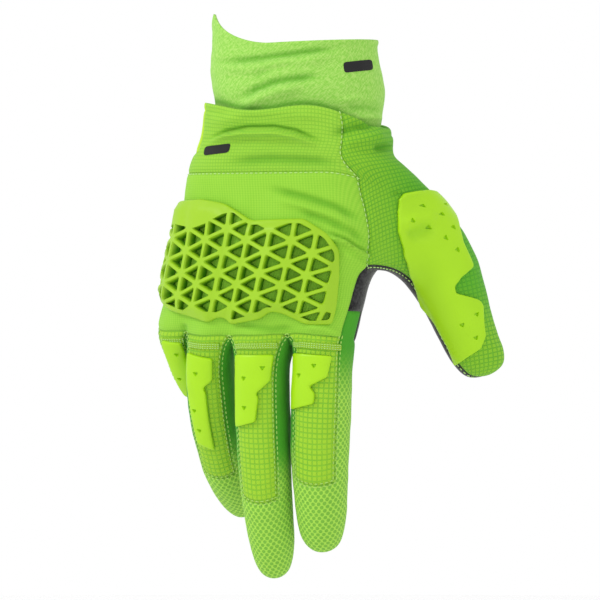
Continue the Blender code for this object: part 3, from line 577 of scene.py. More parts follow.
# Folds of the cloth as the photo shows them: places across and down in mm from the opening's
# centre, in the photo's plane. A fold with a lip is raised below its line and sinks above it.
Fold = namedtuple("Fold", "height width lip course")
foldSet = {
    "strength": 2.0, "facing": 1.6, "fade": 1.7, "palmShare": 0.6, "crease": 0.0019,
    "dip": 0.75, "dipWidth": 0.35, "riseAt": 0.55, "riseWidth": 0.6,
}
backFolds = [
    Fold(2.0, 2.8, 1, ((-39, 40.5), (-30, 37.2), (-21, 35.6), (-9, 35.6), (0, 37.4), (12, 42.5))),
    Fold(-0.8, 2.0, 0, ((-30, 50.5), (-10, 49.6), (10, 50.5), (20, 52))),
    Fold(0.8, 2.4, 0, ((-38, 33), (-20, 29.5), (0, 29), (16, 31))),
    Fold(-0.9, 1.8, 0, ((16, 39), (26, 36), (38, 33.5))),
    Fold(0.9, 2.2, 0, ((20, 43), (30, 41), (41, 38))),
    Fold(-1.0, 1.4, 0, ((34, 44.8), (39, 44.2), (44, 44.4))),
    Fold(-0.9, 1.5, 0, ((-12, 62), (4, 66), (18, 70.5), (30, 77))),
    Fold(0.8, 2.0, 0, ((-10, 66), (5, 70.5), (19, 75.5), (30, 83))),
    Fold(-0.9, 1.5, 0, ((0, 71.5), (14, 76), (25, 81), (31, 87))),
    Fold(1.6, 2.2, 1, ((13, 81.5), (22, 84.5), (28, 88.5), (34, 91.5))),
    Fold(0.6, 2.0, 0, ((20, 90), (27, 94), (32, 99))),
    Fold(0.8, 2.0, 0, ((4, 122), (13, 123.5), (21, 127))),
    Fold(-0.6, 1.4, 0, ((-49, 121), (-48.5, 129))),
    Fold(-0.6, 1.5, 0, ((-26, 121), (-10, 124), (0, 123))),
    Fold(1.0, 2.0, 1, ((41, 66), (47, 63), (56, 61.5))),
    Fold(-0.9, 3.0, 0, ((48, 83), (54, 80.5), (60, 78))),
    Fold(0.7, 2.6, 0, ((46, 78), (54, 75.5), (62, 74))),
]
palmFolds = [
    Fold(-1.0, 1.7, 0, ((-46, 101), (-26, 97), (-4, 99), (14, 106))),
    Fold(-0.9, 1.6, 0, ((-46, 84), (-22, 83), (2, 88), (22, 99))),
    Fold(-1.1, 2.2, 0, ((-10, 50), (0, 66), (6, 82), (20, 97))),
    Fold(0.8, 3.4, 0, ((-46, 92), (-24, 90), (-2, 94), (16, 102))),
    Fold(0.9, 4.0, 0, ((2, 58), (12, 70), (18, 84))),
    Fold(-0.8, 1.5, 0, ((-38, 57), (-20, 54), (-2, 56), (12, 60))),
    Fold(0.7, 1.8, 0, ((-36, 61), (-18, 58), (0, 60))),
]


def foldHeights(points, normals, folds, ahead):
    across, down = photoPlace(points)
    facing = np.clip(-(normals @ np.array(ahead)) * foldSet["facing"], 0.0, 1.0)
    total = np.zeros(len(points))
    for fold in folds:
        course = np.array(fold.course, dtype=float)
        lengths = np.hypot(*(course[1:] - course[:-1]).T)
        ends = np.concatenate(([0.0], np.cumsum(lengths))) / lengths.sum()
        near = np.full(len(points), 1e9)
        signed, share = np.zeros(len(points)), np.zeros(len(points))
        for start, end, low, high in zip(course[:-1], course[1:], ends[:-1], ends[1:]):
            way = end - start
            reach = ((across - start[0]) * way[0] + (down - start[1]) * way[1]) / (way @ way)
            reach = np.clip(reach, 0.0, 1.0)
            gapX, gapY = across - start[0] - reach * way[0], down - start[1] - reach * way[1]
            gap = np.hypot(gapX, gapY)
            closer = gap < near
            near = np.where(closer, gap, near)
            side = np.sign(way[0] * gapY - way[1] * gapX)
            signed = np.where(closer, gap * side, signed)
            share = np.where(closer, mix(low, high, reach), share)
        fade = np.clip(np.sin(np.clip(share, 0.02, 0.98) * pi) * foldSet["fade"], 0.0, 1.0)
        if fold.lip:
            above = np.exp(-(signed / (fold.width * foldSet["dipWidth"])) ** 2) * foldSet["dip"]
            rise = signed - fold.width * foldSet["riseAt"]
            shape = np.exp(-(rise / (fold.width * foldSet["riseWidth"])) ** 2) - above
        else:
            shape = np.exp(-(near / fold.width) ** 2)
        total += shape * fade * fold.height
    return total * facing * mm * foldSet["strength"]


def creaseShadeOf(heights):  # painted shade: 0 on open cloth and 1 in a fold's valley
    return np.clip(-heights / foldSet["crease"], 0.0, 1.0)


def roll(points, seed, size):  # a slow unevenness, as of cloth over a hand
    place = np.random.default_rng(seed)
    total = np.zeros(len(points))
    for octave, share in ((1.0, 0.6), (2.1, 0.3), (4.3, 0.14)):
        for _ in range(5):
            way = place.normal(size=3)
            way *= octave / size / np.linalg.norm(way)
            total += share * np.sin(points @ way * 2 * pi + place.uniform(0, 2 * pi)) / 2.2
    return total


seamSet = {
    "valley": 0.00042, "width": 0.0011, "puff": 0.00022, "puffWidth": 0.0042,
    "hem": 0.00030, "hemWidth": 0.0011, "groove": 0.0034, "grooveWidth": 0.0007,
    "uneven": 0.00022, "waveLength": 0.028, "seed": 7,
}


def gapsTo(skin, sides):  # how far each point lies from the nearest of these edges' ends
    corners = sorted({vertex for side in sides for vertex in side})
    near = KDTree(len(corners))
    for index, vertex in enumerate(corners):
        near.insert(skin.points[vertex], index)
    near.balance()
    return np.array([near.find(point)[2] for point in skin.points])


def hump(values, middle, width):
    return np.exp(-((values - middle) / width) ** 2)


def lookWorn(skin):  # folds, a slow unevenness, hems, cloth that dips at each seam, and the painted shade in the folds' valleys
    gaps, rimGaps = (gapsTo(skin, sides) for sides in skin.borders())
    folds = foldHeights(skin.points, skin.normals, backFolds, viewAhead)
    folds += foldHeights(skin.points, skin.normals, palmFolds, -viewAhead) * foldSet["palmShare"]
    skin.crease = creaseShadeOf(folds)
    lift = folds + roll(skin.points, seamSet["seed"], seamSet["waveLength"]) * seamSet["uneven"]
    lift += seamSet["puff"] * hump(gaps, seamSet["puffWidth"], seamSet["puffWidth"])
    lift -= seamSet["valley"] * hump(gaps, 0.0, seamSet["width"])
    lift += seamSet["hem"] * hump(rimGaps, seamSet["hemWidth"], seamSet["hemWidth"])
    lift -= seamSet["hem"] * hump(rimGaps, seamSet["groove"], seamSet["grooveWidth"])
    skin.points = skin.points + skin.normals * lift[:, None]
    skin.refresh()
    return skin


cage, bodyRows, fingerPaths, fingerLoops, thumbLoops = buildCage()
flatten(cage, "thumb_gusset", viewSide * sin(radians(12)) - Vector((0.0, 0.0, cos(radians(12)))))
broad = Skin(cage, 1)  # the same places as the solids
coarse = lookWorn(Skin(cage, 3))
fine = lookWorn(Skin(cage, 4))
print("skin:", len(fine.quads), "quads,", len(fine.names), "panels")


# A stretch of the skin laid flat: across its middle column and along it, in metres

class Sheet:
    def __init__(self, rings, middle):
        grid = []
        for upper, lower in zip(rings, rings[1:]):
            grid.append(self.cornerRow(upper))
            row = [self.halfway(upper[0], lower[0])]
            for column in range(len(upper) - 1):
                quad = frozenset((upper[column], upper[column + 1], lower[column], lower[column + 1]))
                row += [broad.corners + len(broad.edges) + broad.quadOf[quad],
                        self.halfway(upper[column + 1], lower[column + 1])]
            grid.append(row)
        grid.append(self.cornerRow(rings[-1]))
        self.flat, self.solid, self.normals, self.faces = [], [], [], []
        along, before, width = 0.0, None, len(grid[0])
        for row in grid:
            points = [Vector(broad.points[vertex]) for vertex in row]
            along += (points[middle] - before).length if before else 0.0
            before, reach = points[middle], [0.0]
            for start, end in zip(points, points[1:]):
                reach.append(reach[-1] + (end - start).length)
            self.flat += [Vector((place - reach[middle], along, 0.0)) for place in reach]
            self.solid += points
            self.normals += [Vector(broad.normals[vertex]) for vertex in row]
        for row in range(len(grid) - 1):
            for column in range(width - 1):
                a, b = row * width + column, row * width + column + 1
                self.faces += [(a, b, b + width), (a, b + width, a + width)]
        self.tree = BVHTree.FromPolygons(self.flat, self.faces)

    def halfway(self, a, b):
        return broad.line(a, b)[1]

    def cornerRow(self, ring):
        row = [ring[0]]
        for a, b in zip(ring, ring[1:]):
            row += [self.halfway(a, b), b]
        return row

    def place(self, across, along):  # the broad skin's point and normal at a flat place
        spot, _, face, _ = self.tree.find_nearest(Vector((across, along, 0.0)))
        corners = self.faces[face]
        flat = [self.flat[corner] for corner in corners]
        point = barycentric_transform(spot, *flat, *[self.solid[c] for c in corners])
        normal = barycentric_transform(spot, *flat, *[self.normals[c] for c in corners])
        return point, normal.normalized()


def treeOf(skin):
    return BVHTree.FromPolygons(skin.points.tolist(), skin.quads.tolist())


def drape(places, sheet, tree, lift=0.0):  # each flat place (across, along, height) on the cloth
    laid = []
    for across, along, height in places:
        point, normal = sheet.place(across, along)
        hit = tree.ray_cast(point + normal * 0.006, -normal, 0.012)[0]
        laid.append((hit or point) + normal * (height + lift))
    return laid


def meshObject(name, points, faces, material, flats=None, smooth=True):
    mesh = bpy.data.meshes.new(name)
    mesh.from_pydata(np.asarray(points).tolist(), [], np.asarray(faces).tolist())
    if flats is not None:
        layer = mesh.uv_layers.new(name="flat")
        layer.data.foreach_set("uv", np.asarray(flats, dtype=np.float32).ravel())
    if smooth:
        mesh.shade_smooth()
    mesh.materials.append(material)
    return linked(name, mesh)


def own(piece, node):  # the piece stands for the node
    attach(piece, "root")
    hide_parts(node)


def tone(piece, name, valueOf):  # a value for each corner of the mesh, from its place
    layer = piece.data.attributes.new(name, "FLOAT", "POINT")
    points = np.empty(len(piece.data.vertices) * 3)
    piece.data.vertices.foreach_get("co", points)
    layer.data.foreach_set("value", valueOf(points.reshape(-1, 3)).astype(np.float32))


def ease(values, low, high):
    share = np.clip((values - low) / (high - low), 0.0, 1.0)
    return share * share * (3 - 2 * share)


# Finishes, in the photo's colours

def weaveOf(made, across, along, pitch):  # a fine over and under of threads
    return ((across / pitch * pi).calc("SINE") * (along / pitch * pi).calc("SINE")) * 0.5 + 0.5


# Painted shade: the colours that the cloth darkens to in the folds' valleys
foldShade = {"net": linear(74, 160, 30), "knit": linear(78, 164, 36), "cuff": linear(84, 172, 34)}


def netFinish(name, pitch, square, line, deep):  # ripstop mesh: pale squares between green threads
    made = Finish(name, Roughness=0.78, Sheen_Weight=0.05, Specular_IOR_Level=0.18)
    across, along = made.split(made.flat())
    wander = (made.noise(made.place(), 160.0) - 0.5) * 0.22
    fade = made.noise(made.place(), 60.0, 3.0)

    def threads(value, width):
        return ((value / pitch + wander).calc("PINGPONG", 0.5)).step(width, width * 0.35)

    grid = threads(across, 0.17).calc("MAXIMUM", threads(along, 0.19))
    fineGrid = weaveOf(made, across, along, pitch / 4)
    # the squares turn to the deep colour where the stored value falls: partly the cloth's own tone and partly
    # painted shade
    ground = made.blend(made.attribute("bright"), deep, square)
    ground = made.blend(fineGrid * 0.22, ground, line)
    colour = made.blend(grid * (fade * 0.6 + 0.25), ground, line)
    # painted shade in the folds' valleys
    made.feed("Base Color", made.blend(made.attribute("crease") * 0.55, colour, foldShade["net"]))
    made.bump(1 - grid * 0.8 + fineGrid * 0.35 + fade * 0.4, 0.00022, 0.8)
    return made.material


def dotFinish(name, pitch, plain, net, hole):  # spacer mesh: dark round holes in staggered rows
    made = Finish(name, Roughness=0.78, Sheen_Weight=0.05, Specular_IOR_Level=0.18)
    across, along = made.split(made.flat())
    fade = made.noise(made.place(), 70.0, 3.0)

    def cell(shift):
        x = (across / pitch + shift).calc("FRACT") - 0.5
        y = ((along / (pitch * 1.25) + shift).calc("FRACT") - 0.5) * 1.25
        return (x * x + y * y).calc("SQRT")

    dots = cell(0.0).calc("MINIMUM", cell(0.5)).step(0.37, 0.24)
    shown = made.attribute("dots")
    colour = made.blend(dots * 0.7, net, hole)
    knit = weaveOf(made, across, along, 0.0006)
    colour = made.blend(shown, made.blend(knit * 0.18, plain, hole), colour)
    colour = made.blend(fade * 0.25, colour, made.blend(0.5, colour, net))
    made.feed("Base Color", colour)
    made.bump(knit * 0.3 + fade * 0.3 - dots * shown * 0.9, 0.00028, 0.8)
    return made.material


def knitFinish(name, light, dark, pitch):  # stretch knit with fine upright ribs
    made = Finish(name, Roughness=0.76, Sheen_Weight=0.05, Specular_IOR_Level=0.18)
    across, along = made.split(made.flat())
    fade = made.noise(made.place(), 45.0, 4.0, 0.6)
    ribs = (across / pitch).calc("PINGPONG", 0.5) * 2
    rows = (along / (pitch * 0.8)).calc("PINGPONG", 0.5) * 2
    cells = ribs * 0.6 + rows * 0.4
    colour = made.blend(cells * 0.55 + fade * 0.35, light, dark)
    # the knit darkens where the stored value falls: partly its own tone and partly painted shade
    colour = made.blend(made.attribute("bright"), made.blend(0.5, colour, dark), colour)
    # painted shade in the folds' valleys
    made.feed("Base Color", made.blend(made.attribute("crease") * 0.5, colour, foldShade["knit"]))
    made.bump(1 - cells + fade * 0.5, 0.00018, 0.7)
    return made.material


def melangeFinish(name, light, middle, dark):  # the cuff's slub knit, its yarns lying aslant
    made = Finish(name, Roughness=0.85, Sheen_Weight=0.1, Specular_IOR_Level=0.15)
    flat = made.flat()

    def slubs(turn, scale):
        aslant = made.node("ShaderNodeMapping", {"vector_type": "TEXTURE"}, {
            "Vector": flat, "Rotation": (0, 0, radians(turn)), "Scale": (scale, scale * 0.3, scale)})
        return made.noise(aslant, 1.0, 2.0)

    first, second = slubs(48, 0.0021), slubs(-36, 0.0017)
    across, along = made.split(flat)
    knit = weaveOf(made, across, along, 0.0009)
    colour = made.blend(first.step(0.36, 0.66), middle, light)
    colour = made.blend(second.step(0.48, 0.70) * 0.5, colour, dark)
    colour = made.blend(knit * 0.12, colour, dark)
    # painted shade in the folds' valleys, and the painted shadow above the wrist's edge
    made.feed("Base Color", made.blend(made.attribute("crease") * 0.6, colour, foldShade["cuff"]))
    made.bump(first * 0.6 + knit * 0.4 - second * 0.3, 0.00016, 0.7)
    return made.material


def suedeFinish(name, dark, light):
    made = Finish(name, Roughness=0.95, Sheen_Weight=0.35, Specular_IOR_Level=0.2)
    place = made.place()
    nap, grain = made.noise(place, 900.0, 3.0), made.noise(place, 120.0, 4.0, 0.65)
    made.feed("Base Color", made.blend((nap * 0.6 + grain * 0.4).step(0.36, 0.68), dark, light))
    made.bump(nap * 0.5 + grain, 0.00035, 0.9)
    return made.material


def mouldedFinish(name, colour, shade, rough, deep=None):  # soft moulded rubber, a fine satin skin
    made = Finish(name, Specular_IOR_Level=0.3)
    place = made.place()
    cloud, grain = made.noise(place, 55.0, 3.0), made.noise(place, 2600.0, 2.0)
    skin = made.blend(cloud.step(0.35, 0.75) * 0.35, colour, shade)
    # painted shade: the rubber darkens towards the deep colour where the stored value rises
    made.feed("Base Color", made.blend(made.attribute("deep"), skin, deep) if deep else skin)
    made.feed("Roughness", cloud * 0.12 + (rough - 0.06))
    made.bump(grain + cloud * 0.5, 0.00004, 0.6)
    return made.material


def threadFinish(name, colour):
    made = Finish(name, Roughness=0.6, Sheen_Weight=0.3)
    place = made.place()
    twist = made.noise(place, 1800.0, 2.0)
    made.feed("Base Color", made.blend(twist * 0.4, colour, linear(120, 190, 90)))
    made.bump(twist, 0.0001, 0.6)
    return made.material


finishes = {
    "wrist": netFinish("wristMesh", 0.0015, linear(164, 222, 84), linear(124, 198, 66),
                       linear(120, 202, 70)),
    "gusset": netFinish("gussetMesh", 0.0020, linear(148, 210, 60), linear(74, 166, 56),
                        linear(90, 182, 54)),
    "fingerBack": netFinish("fingerMesh", 0.0022, linear(170, 220, 66), linear(104, 186, 62),
                            linear(138, 204, 62)),
    "side": dotFinish("sideMesh", 0.0026, linear(56, 158, 40), linear(172, 230, 104), linear(92, 168, 66)),
    "back": knitFinish("stretchKnit", linear(168, 226, 88), linear(124, 198, 58), 0.0013),
    "cuff": melangeFinish("cuffKnit", linear(182, 232, 142), linear(152, 216, 108), linear(118, 198, 70)),
    "palm": suedeFinish("palmSuede", linear(20, 20, 20), linear(58, 58, 58)),
    # The patch's and the guard's last colours are the painted shade's colours
    "patch": mouldedFinish("patchRubber", linear(174, 232, 28), linear(164, 222, 24), 0.42,
                           linear(134, 200, 14)),
    "guard": mouldedFinish("guardRubber", linear(162, 212, 44), linear(152, 204, 38), 0.46,
                           linear(70, 146, 22)),
    "band": netFinish("bandMesh", 0.0011, linear(172, 216, 60), linear(110, 186, 66), linear(120, 190, 60)),
    "mark": mouldedFinish("blackPrint", linear(18, 18, 18), linear(28, 28, 28), 0.5),
    "thread": threadFinish("paleThread", linear(196, 240, 165)),
    "greenThread": threadFinish("greenThread", linear(182, 230, 120)),
    "insert": mouldedFinish("insertRubber", linear(186, 232, 40), linear(176, 224, 36), 0.5),
}
print("finishes:", len(finishes))


# The cloth panels

panelSet = {"wall": 0.0012, "fine": ("hand_back", "wrist_back", "thumb_gusset")}
panelFinish = {
    "wrist_back": ("wrist", "ripstop_mesh"), "wrist_palm": ("palm", "palm_suede"),
    "ulnar_insert": ("insert", "patch_rubber"), "thumb_gusset": ("gusset", "side_knit"),
    "hand_back": ("back", "stretch_knit"), "palm": ("palm", "palm_suede"),
    "thumb_palm": ("palm", "palm_suede"), "back": ("fingerBack", "ripstop_mesh"),
    "fourchette": ("side", "side_knit"),
}


def panelPiece(name):
    source = fine if name in panelSet["fine"] else coarse
    finish, slot = panelFinish.get(name) or panelFinish[name.split("_")[-1]]
    mask = source.panel == source.names.index(name)
    used, corners = np.unique(source.quads[mask], return_inverse=True)
    piece = meshObject(name + "_cloth", source.points[used], corners.reshape(-1, 4),
                       finishes[finish], source.flats[mask])
    # the painted shade in the folds' valleys, kept for the cloth's colour
    tone(piece, "crease", lambda points: source.crease[used])
    wall = piece.modifiers.new("wall", "SOLIDIFY")
    wall.thickness, wall.offset = panelSet["wall"], -1.0
    own(piece, name)
    return piece


paleLitSet = {
    "loss": 0.85, "lean": 0.25, "leanFrom": 30, "across": (22, 52), "middle": 70, "reach": 60, "soft": 30,
}
dotSet = {"indexFrom": 0.05, "otherFrom": 0.42, "soft": 0.25, "outer": 0.006, "all": (0.45, 0.60)}


def paleAndLit(points):  # where the cloth shows its paler squares, darkened towards the thumb's side: partly the cloth's own tone and partly painted shade
    across, down = photoPlace(points)
    aside = ease(across - (down - paleLitSet["leanFrom"]) * paleLitSet["lean"], *paleLitSet["across"])
    level = ease(paleLitSet["reach"] - abs(down - paleLitSet["middle"]), 0, paleLitSet["soft"])
    return 1.0 - paleLitSet["loss"] * aside * level


def dotsOf(points, path):  # the holes show at a finger's tip, and along the index finger's outer side
    onIndex = path.form.name == "index"
    low = dotSet["indexFrom"] if onIndex else dotSet["otherFrom"]
    along = (path.root.z - points[:, 2]) / path.form.length
    outer = ease((points - np.array(path.root)) @ np.array(path.side), 0.0, dotSet["outer"])
    reach = ease(along, low, low + dotSet["soft"])
    return np.maximum(reach * (outer if onIndex else 1.0), ease(along, *dotSet["all"]))


clothPieces = {name: panelPiece(name) for name in fine.names}
pathOf = {path.form.name: path for path in fingerPaths}
for name, piece in clothPieces.items():
    if name.endswith("_fourchette"):
        tone(piece, "dots", lambda points: dotsOf(points, pathOf[name.split("_")[0]]))
    else:
        tone(piece, "bright", paleAndLit)
print("cloth panels:", len(clothPieces))


# The cuff: a knitted tube with its hem, pulled up to a peak at the little finger's side

cuffSet = {
    "breadth": 0.0780, "depth": 0.0500, "tuck": 0.0090, "peak": 0.0150, "rise": 0.0030,
    "peakAngle": 156, "peakSpread": 62, "peakPower": 1.7, "wall": 0.0012, "sides": 224, "rows": 66,
    "girth": 0.205, "length": 0.042, "seed": 3, "waveLength": 0.030, "uneven": 0.0005,
    "hem": 0.0005, "hemAt": 0.02, "hemWidth": 0.03, "calmEdge": 0.06, "shadeUp": 0.0008, "shadeWidth": 0.0013,
}
CuffRing = namedtuple("CuffRing", "down breadth depth")
cuffRings = [
    CuffRing(0.00, 0.960, 0.98),
    CuffRing(0.20, 0.975, 0.99),
    CuffRing(0.32, 1.005, 1.02),
    CuffRing(0.50, 1.020, 1.02),
    CuffRing(0.66, 1.000, 0.97),
    CuffRing(0.78, 0.970, 0.91),
    CuffRing(1.00, 0.940, 0.87),
]
cuffFolds = [
    Fold(-0.9, 1.3, 0, ((-36, 6.2), (-26, 6.4), (-14, 5.4), (4, 3.2), (20, 1.2))),
    Fold(0.8, 2.4, 0, ((-36, 9), (-20, 9.6), (2, 7), (18, 4.5))),
    Fold(-1.0, 1.5, 0, ((-25, 23.5), (-18, 19.2), (-9, 16), (0, 14.6), (12, 13.4))),
    Fold(1.1, 2.6, 0, ((-24, 27), (-15, 22.5), (-6, 19.4), (4, 18))),
    Fold(-0.5, 1.4, 0, ((-20, 14), (-10, 10), (2, 8))),
    Fold(0.6, 1.4, 0, ((20, 24), (28, 23), (38, 24))),
    Fold(-0.5, 1.1, 0, ((22, 27.5), (30, 27), (39, 28))),
    Fold(0.6, 1.3, 0, ((26, 31.5), (33, 31), (41, 31.5))),
]


def smoothTable(rows, key, places):  # a smooth line through a table's column
    downs = np.array([row.down for row in rows])
    values = np.interp(places, downs, [getattr(row, key) for row in rows])
    for _ in range(14):
        values[1:-1] = (values[:-2] + values[1:-1] * 2 + values[2:]) / 4
    return values


def cuffTop(angle):
    nearness = max(0.0, 1.0 - abs(angle - cuffSet["peakAngle"]) / cuffSet["peakSpread"])
    rise = cuffSet["rise"] * (1.0 + cos(radians(angle))) / 2
    return cuffSet["peak"] * nearness ** cuffSet["peakPower"] + rise


def cuffPiece():
    sides, count = cuffSet["sides"], cuffSet["rows"]
    downs = np.linspace(0.0, 1.0, count)
    breadths, depths = (smoothTable(cuffRings, key, downs) for key in ("breadth", "depth"))
    points, flats = [], []
    for row in range(count):
        for side in range(sides):
            angle = 360.0 * side / sides
            x, y = cos(radians(angle)), sin(radians(angle))
            foot = ringHeight(bodyRings[0], x, (1.0 - y) / 2) - cuffSet["tuck"]
            points.append((bodyRings[0].middleX * handSet["breadth"] * downs[row]
                           + breadths[row] * cuffSet["breadth"] / 2 * x,
                           -depths[row] * cuffSet["depth"] / 2 * y,
                           mix(cuffTop(angle), foot, downs[row])))
    points = np.array(points)
    normals = np.stack([points[:, 0] / cuffSet["breadth"] ** 2, points[:, 1] / cuffSet["depth"] ** 2,
                        np.zeros(len(points))], axis=1)
    normals /= np.linalg.norm(normals, axis=1, keepdims=True)
    folds = foldHeights(points, normals, cuffFolds, viewAhead)
    share = np.repeat(downs, sides)
    edge = np.tile(points[-sides:, 2] + cuffSet["tuck"], count)  # the wrist's free edge, just above which a shadow is painted on the cuff
    shade = np.maximum(creaseShadeOf(folds), hump(points[:, 2] - edge, cuffSet["shadeUp"], cuffSet["shadeWidth"]))
    height = folds + roll(points, cuffSet["seed"], cuffSet["waveLength"]) * cuffSet["uneven"]
    height *= ease(share, 0.0, cuffSet["calmEdge"])
    height += cuffSet["hem"] * hump(share, cuffSet["hemAt"], cuffSet["hemWidth"])
    points = points + normals * height[:, None]
    quads = []
    du, dv = -cuffSet["girth"] / sides, -cuffSet["length"] / count
    for row in range(count - 1):
        for side in range(sides):
            here, after, below = row * sides + side, row * sides + (side + 1) % sides, sides
            quads.append((after, after + below, here + below, here))
            u, v = du * side, dv * row
            flats += [(u + du, v), (u + du, v + dv), (u, v + dv), (u, v)]
    piece = meshObject("cuff_knit", points, quads, finishes["cuff"], flats)
    wall = piece.modifiers.new("wall", "SOLIDIFY")
    wall.thickness, wall.offset = cuffSet["wall"], -1.0
    # painted shade of the folds' valleys and painted shadow above the wrist's edge, for the cuff's colour
    tone(piece, "crease", lambda places: shade)
    own(piece, "cuff")
    return piece


cuff = cuffPiece()
print("cuff:", len(cuff.data.polygons), "faces")


# Moulded patches on the digits: outlines in shares of the digit's half breadth and of its length

patchSet = {
    "seat": 0.0004, "wall": 0.0016, "round": 0.0011, "bevel": 0.0007, "step": 0.0011,
    "pit": 0.00135, "pitDeep": 0.0011, "pitTaper": 0.6, "crease": 0.35,
}
patchOutlines = {
    "little": [(-0.25, 0.050), (0.75, 0.070), (0.60, 0.480), (-0.20, 0.430)],
    "ring": [(-0.62, 0.080), (0.50, 0.100), (0.45, 0.195), (0.10, 0.230), (0.18, 0.255),
             (0.20, 0.530), (-0.45, 0.500), (-0.62, 0.220)],
    "middle": [(-0.72, 0.075), (0.74, 0.075), (0.62, 0.175), (0.16, 0.225), (0.24, 0.240),
               (0.12, 0.335), (-0.70, 0.365)],
    "index": [(-0.86, 0.085), (0.55, 0.085), (0.42, 0.180), (-0.12, 0.225), (0.06, 0.255),
              (0.04, 0.300), (-0.86, 0.342)],
    "thumb": [(0.12, 0.225), (0.75, 0.210), (1.50, 0.167), (2.00, 0.180), (2.30, 0.230),
              (2.15, 0.330), (1.85, 0.430), (1.40, 0.500), (1.14, 0.570), (1.03, 0.695),
              (0.55, 0.710), (0.28, 0.740), (0.24, 0.785), (0.50, 0.830), (0.80, 0.885),
              (0.86, 0.925), (0.68, 1.030), (0.56, 1.120), (0.28, 1.180), (-0.18, 1.195),
              (-0.72, 1.225), (-0.60, 1.090), (-0.72, 0.940), (-0.98, 0.790), (-0.75, 0.490),
              (-0.40, 0.330)],
}
pitPlaces = {
    "little": [(0.38, 0.138), (0.09, 0.299)],
    "ring": [(-0.14, 0.166), (-0.32, 0.337), (-0.22, 0.430)],
    "middle": [(0.37, 0.124), (-0.25, 0.166), (-0.24, 0.281)],
    "index": [(0.01, 0.132), (-0.48, 0.180)],
    "thumb": [(1.27, 0.280), (1.81, 0.337), (1.35, 0.377), (0.65, 0.292), (0.75, 0.388), (1.23, 0.472),
              (0.81, 0.484), (0.82, 0.571), (0.55, 0.959), (0.08, 0.986), (0.28, 1.099)],
}
broadTree, coarseTree, fineTree = (treeOf(skin) for skin in (broad, coarse, fine))


def area2(outline):
    return sum(a[0] * b[1] - b[0] * a[1] for a, b in zip(outline, outline[1:] + outline[:1]))


def rounded(outline, radius, steps=4):  # each corner replaced by an arc-like curve
    made = []
    for before, corner, after in zip(outline[-1:] + outline[:-1], outline, outline[1:] + outline[:1]):
        corner, before, after = Vector(corner), Vector(before), Vector(after)
        start = corner + (before - corner) * min(0.45, radius / (before - corner).length)
        end = corner + (after - corner) * min(0.45, radius / (after - corner).length)
        for step in range(steps + 1):
            share = step / steps
            made.append(start.lerp(corner, share).lerp(corner.lerp(end, share), share))
    return made


def grown(outline, distance):  # every side of a polygon moved out by a distance
    way = 1.0 if area2(outline) > 0 else -1.0
    made = []
    for before, point, after in zip(outline[-1:] + outline[:-1], outline, outline[1:] + outline[:1]):
        before, point, after = Vector(before), Vector(point), Vector(after)
        first, second = (point - before).normalized(), (after - point).normalized()
        normal = (Vector((first.y, -first.x)) + Vector((second.y, -second.x))).normalized()
        spread = max(0.5, normal.dot(Vector((second.y, -second.x))))
        made.append(point + normal * way * distance / spread)
    return made


def stacked(build, rings):  # a solid through level outlines, given as (outline, height) from the bottom
    loops = [[build.verts.new((x, y, z)) for x, y in outline] for outline, z in rings]
    build.faces.new(loops[0])
    build.faces.new(loops[-1])
    for lower, upper in zip(loops, loops[1:]):
        for k in range(len(lower)):
            after = (k + 1) % len(lower)
            build.faces.new((lower[k], lower[after], upper[after], upper[k]))
    bmesh.ops.recalc_face_normals(build, faces=build.faces[:])


def solidObject(name, build):
    mesh = bpy.data.meshes.new(name)
    build.to_mesh(mesh)
    build.free()
    return linked(name, mesh)


def levelled(name, *stacks):  # one object of solids through level outlines
    build = bmesh.new()
    for rings in stacks:
        stacked(build, rings)
    return solidObject(name, build)


def carve(target, operation, other):
    step = target.modifiers.new("carve", "BOOLEAN")
    step.operation, step.object = operation, other
    result = finished(target)
    target.modifiers.clear()
    target.data = result
    bpy.data.objects.remove(other)


def sliced(plate, step):  # a bmesh of the plate's triangles, cut across both ways, so that it can bend
    build = bmesh.new()
    build.from_mesh(plate.data)
    bpy.data.objects.remove(plate)
    bmesh.ops.remove_doubles(build, verts=build.verts[:], dist=1e-6)
    bmesh.ops.triangulate(build, faces=build.faces[:])
    for axis in (0, 1):
        low = min(vertex.co[axis] for vertex in build.verts)
        high = max(vertex.co[axis] for vertex in build.verts)
        place = low + step * 0.63
        while place < high:
            spot, normal = [0.0] * 3, [0.0] * 3
            spot[axis], normal[axis] = place, 1.0
            bmesh.ops.bisect_plane(build, geom=build.verts[:] + build.edges[:] + build.faces[:], dist=1e-7,
                                   plane_co=spot, plane_no=normal)
            place += step
    bmesh.ops.triangulate(build, faces=[face for face in build.faces if len(face.verts) > 4])
    return build


def bent(build, name, sheet, tree, material, sharp=40):
    flat = build.loops.layers.uv.new("flat")
    for face in build.faces:
        for loop in face.loops:
            loop[flat].uv = loop.vert.co.xy
    laid = drape([vertex.co for vertex in build.verts], sheet, tree)
    for vertex, place in zip(build.verts, laid):
        vertex.co = place
    bmesh.ops.triangulate(build, faces=build.faces[:])
    bmesh.ops.recalc_face_normals(build, faces=build.faces[:])
    made = solidObject(name, build)
    made.data.materials.clear()
    made.data.materials.append(material)
    made.data.shade_smooth()
    made.data.set_sharp_from_angle(angle=radians(sharp))
    return made


def mouldLevels(corners, radius, bevel, low, high):  # a plate with a rounded top edge
    return [(rounded(grown(corners, -inward), radius - inward * 0.6), height) for inward, height in
            ((0.0, low), (0.0, high - bevel), (bevel * 0.3, high - bevel * 0.3), (bevel, high))]


def triangle(middle, size):
    return [Vector((middle[0] + size * sin(radians(step)), middle[1] + size * cos(radians(step))))
            for step in (0, 120, 240)]


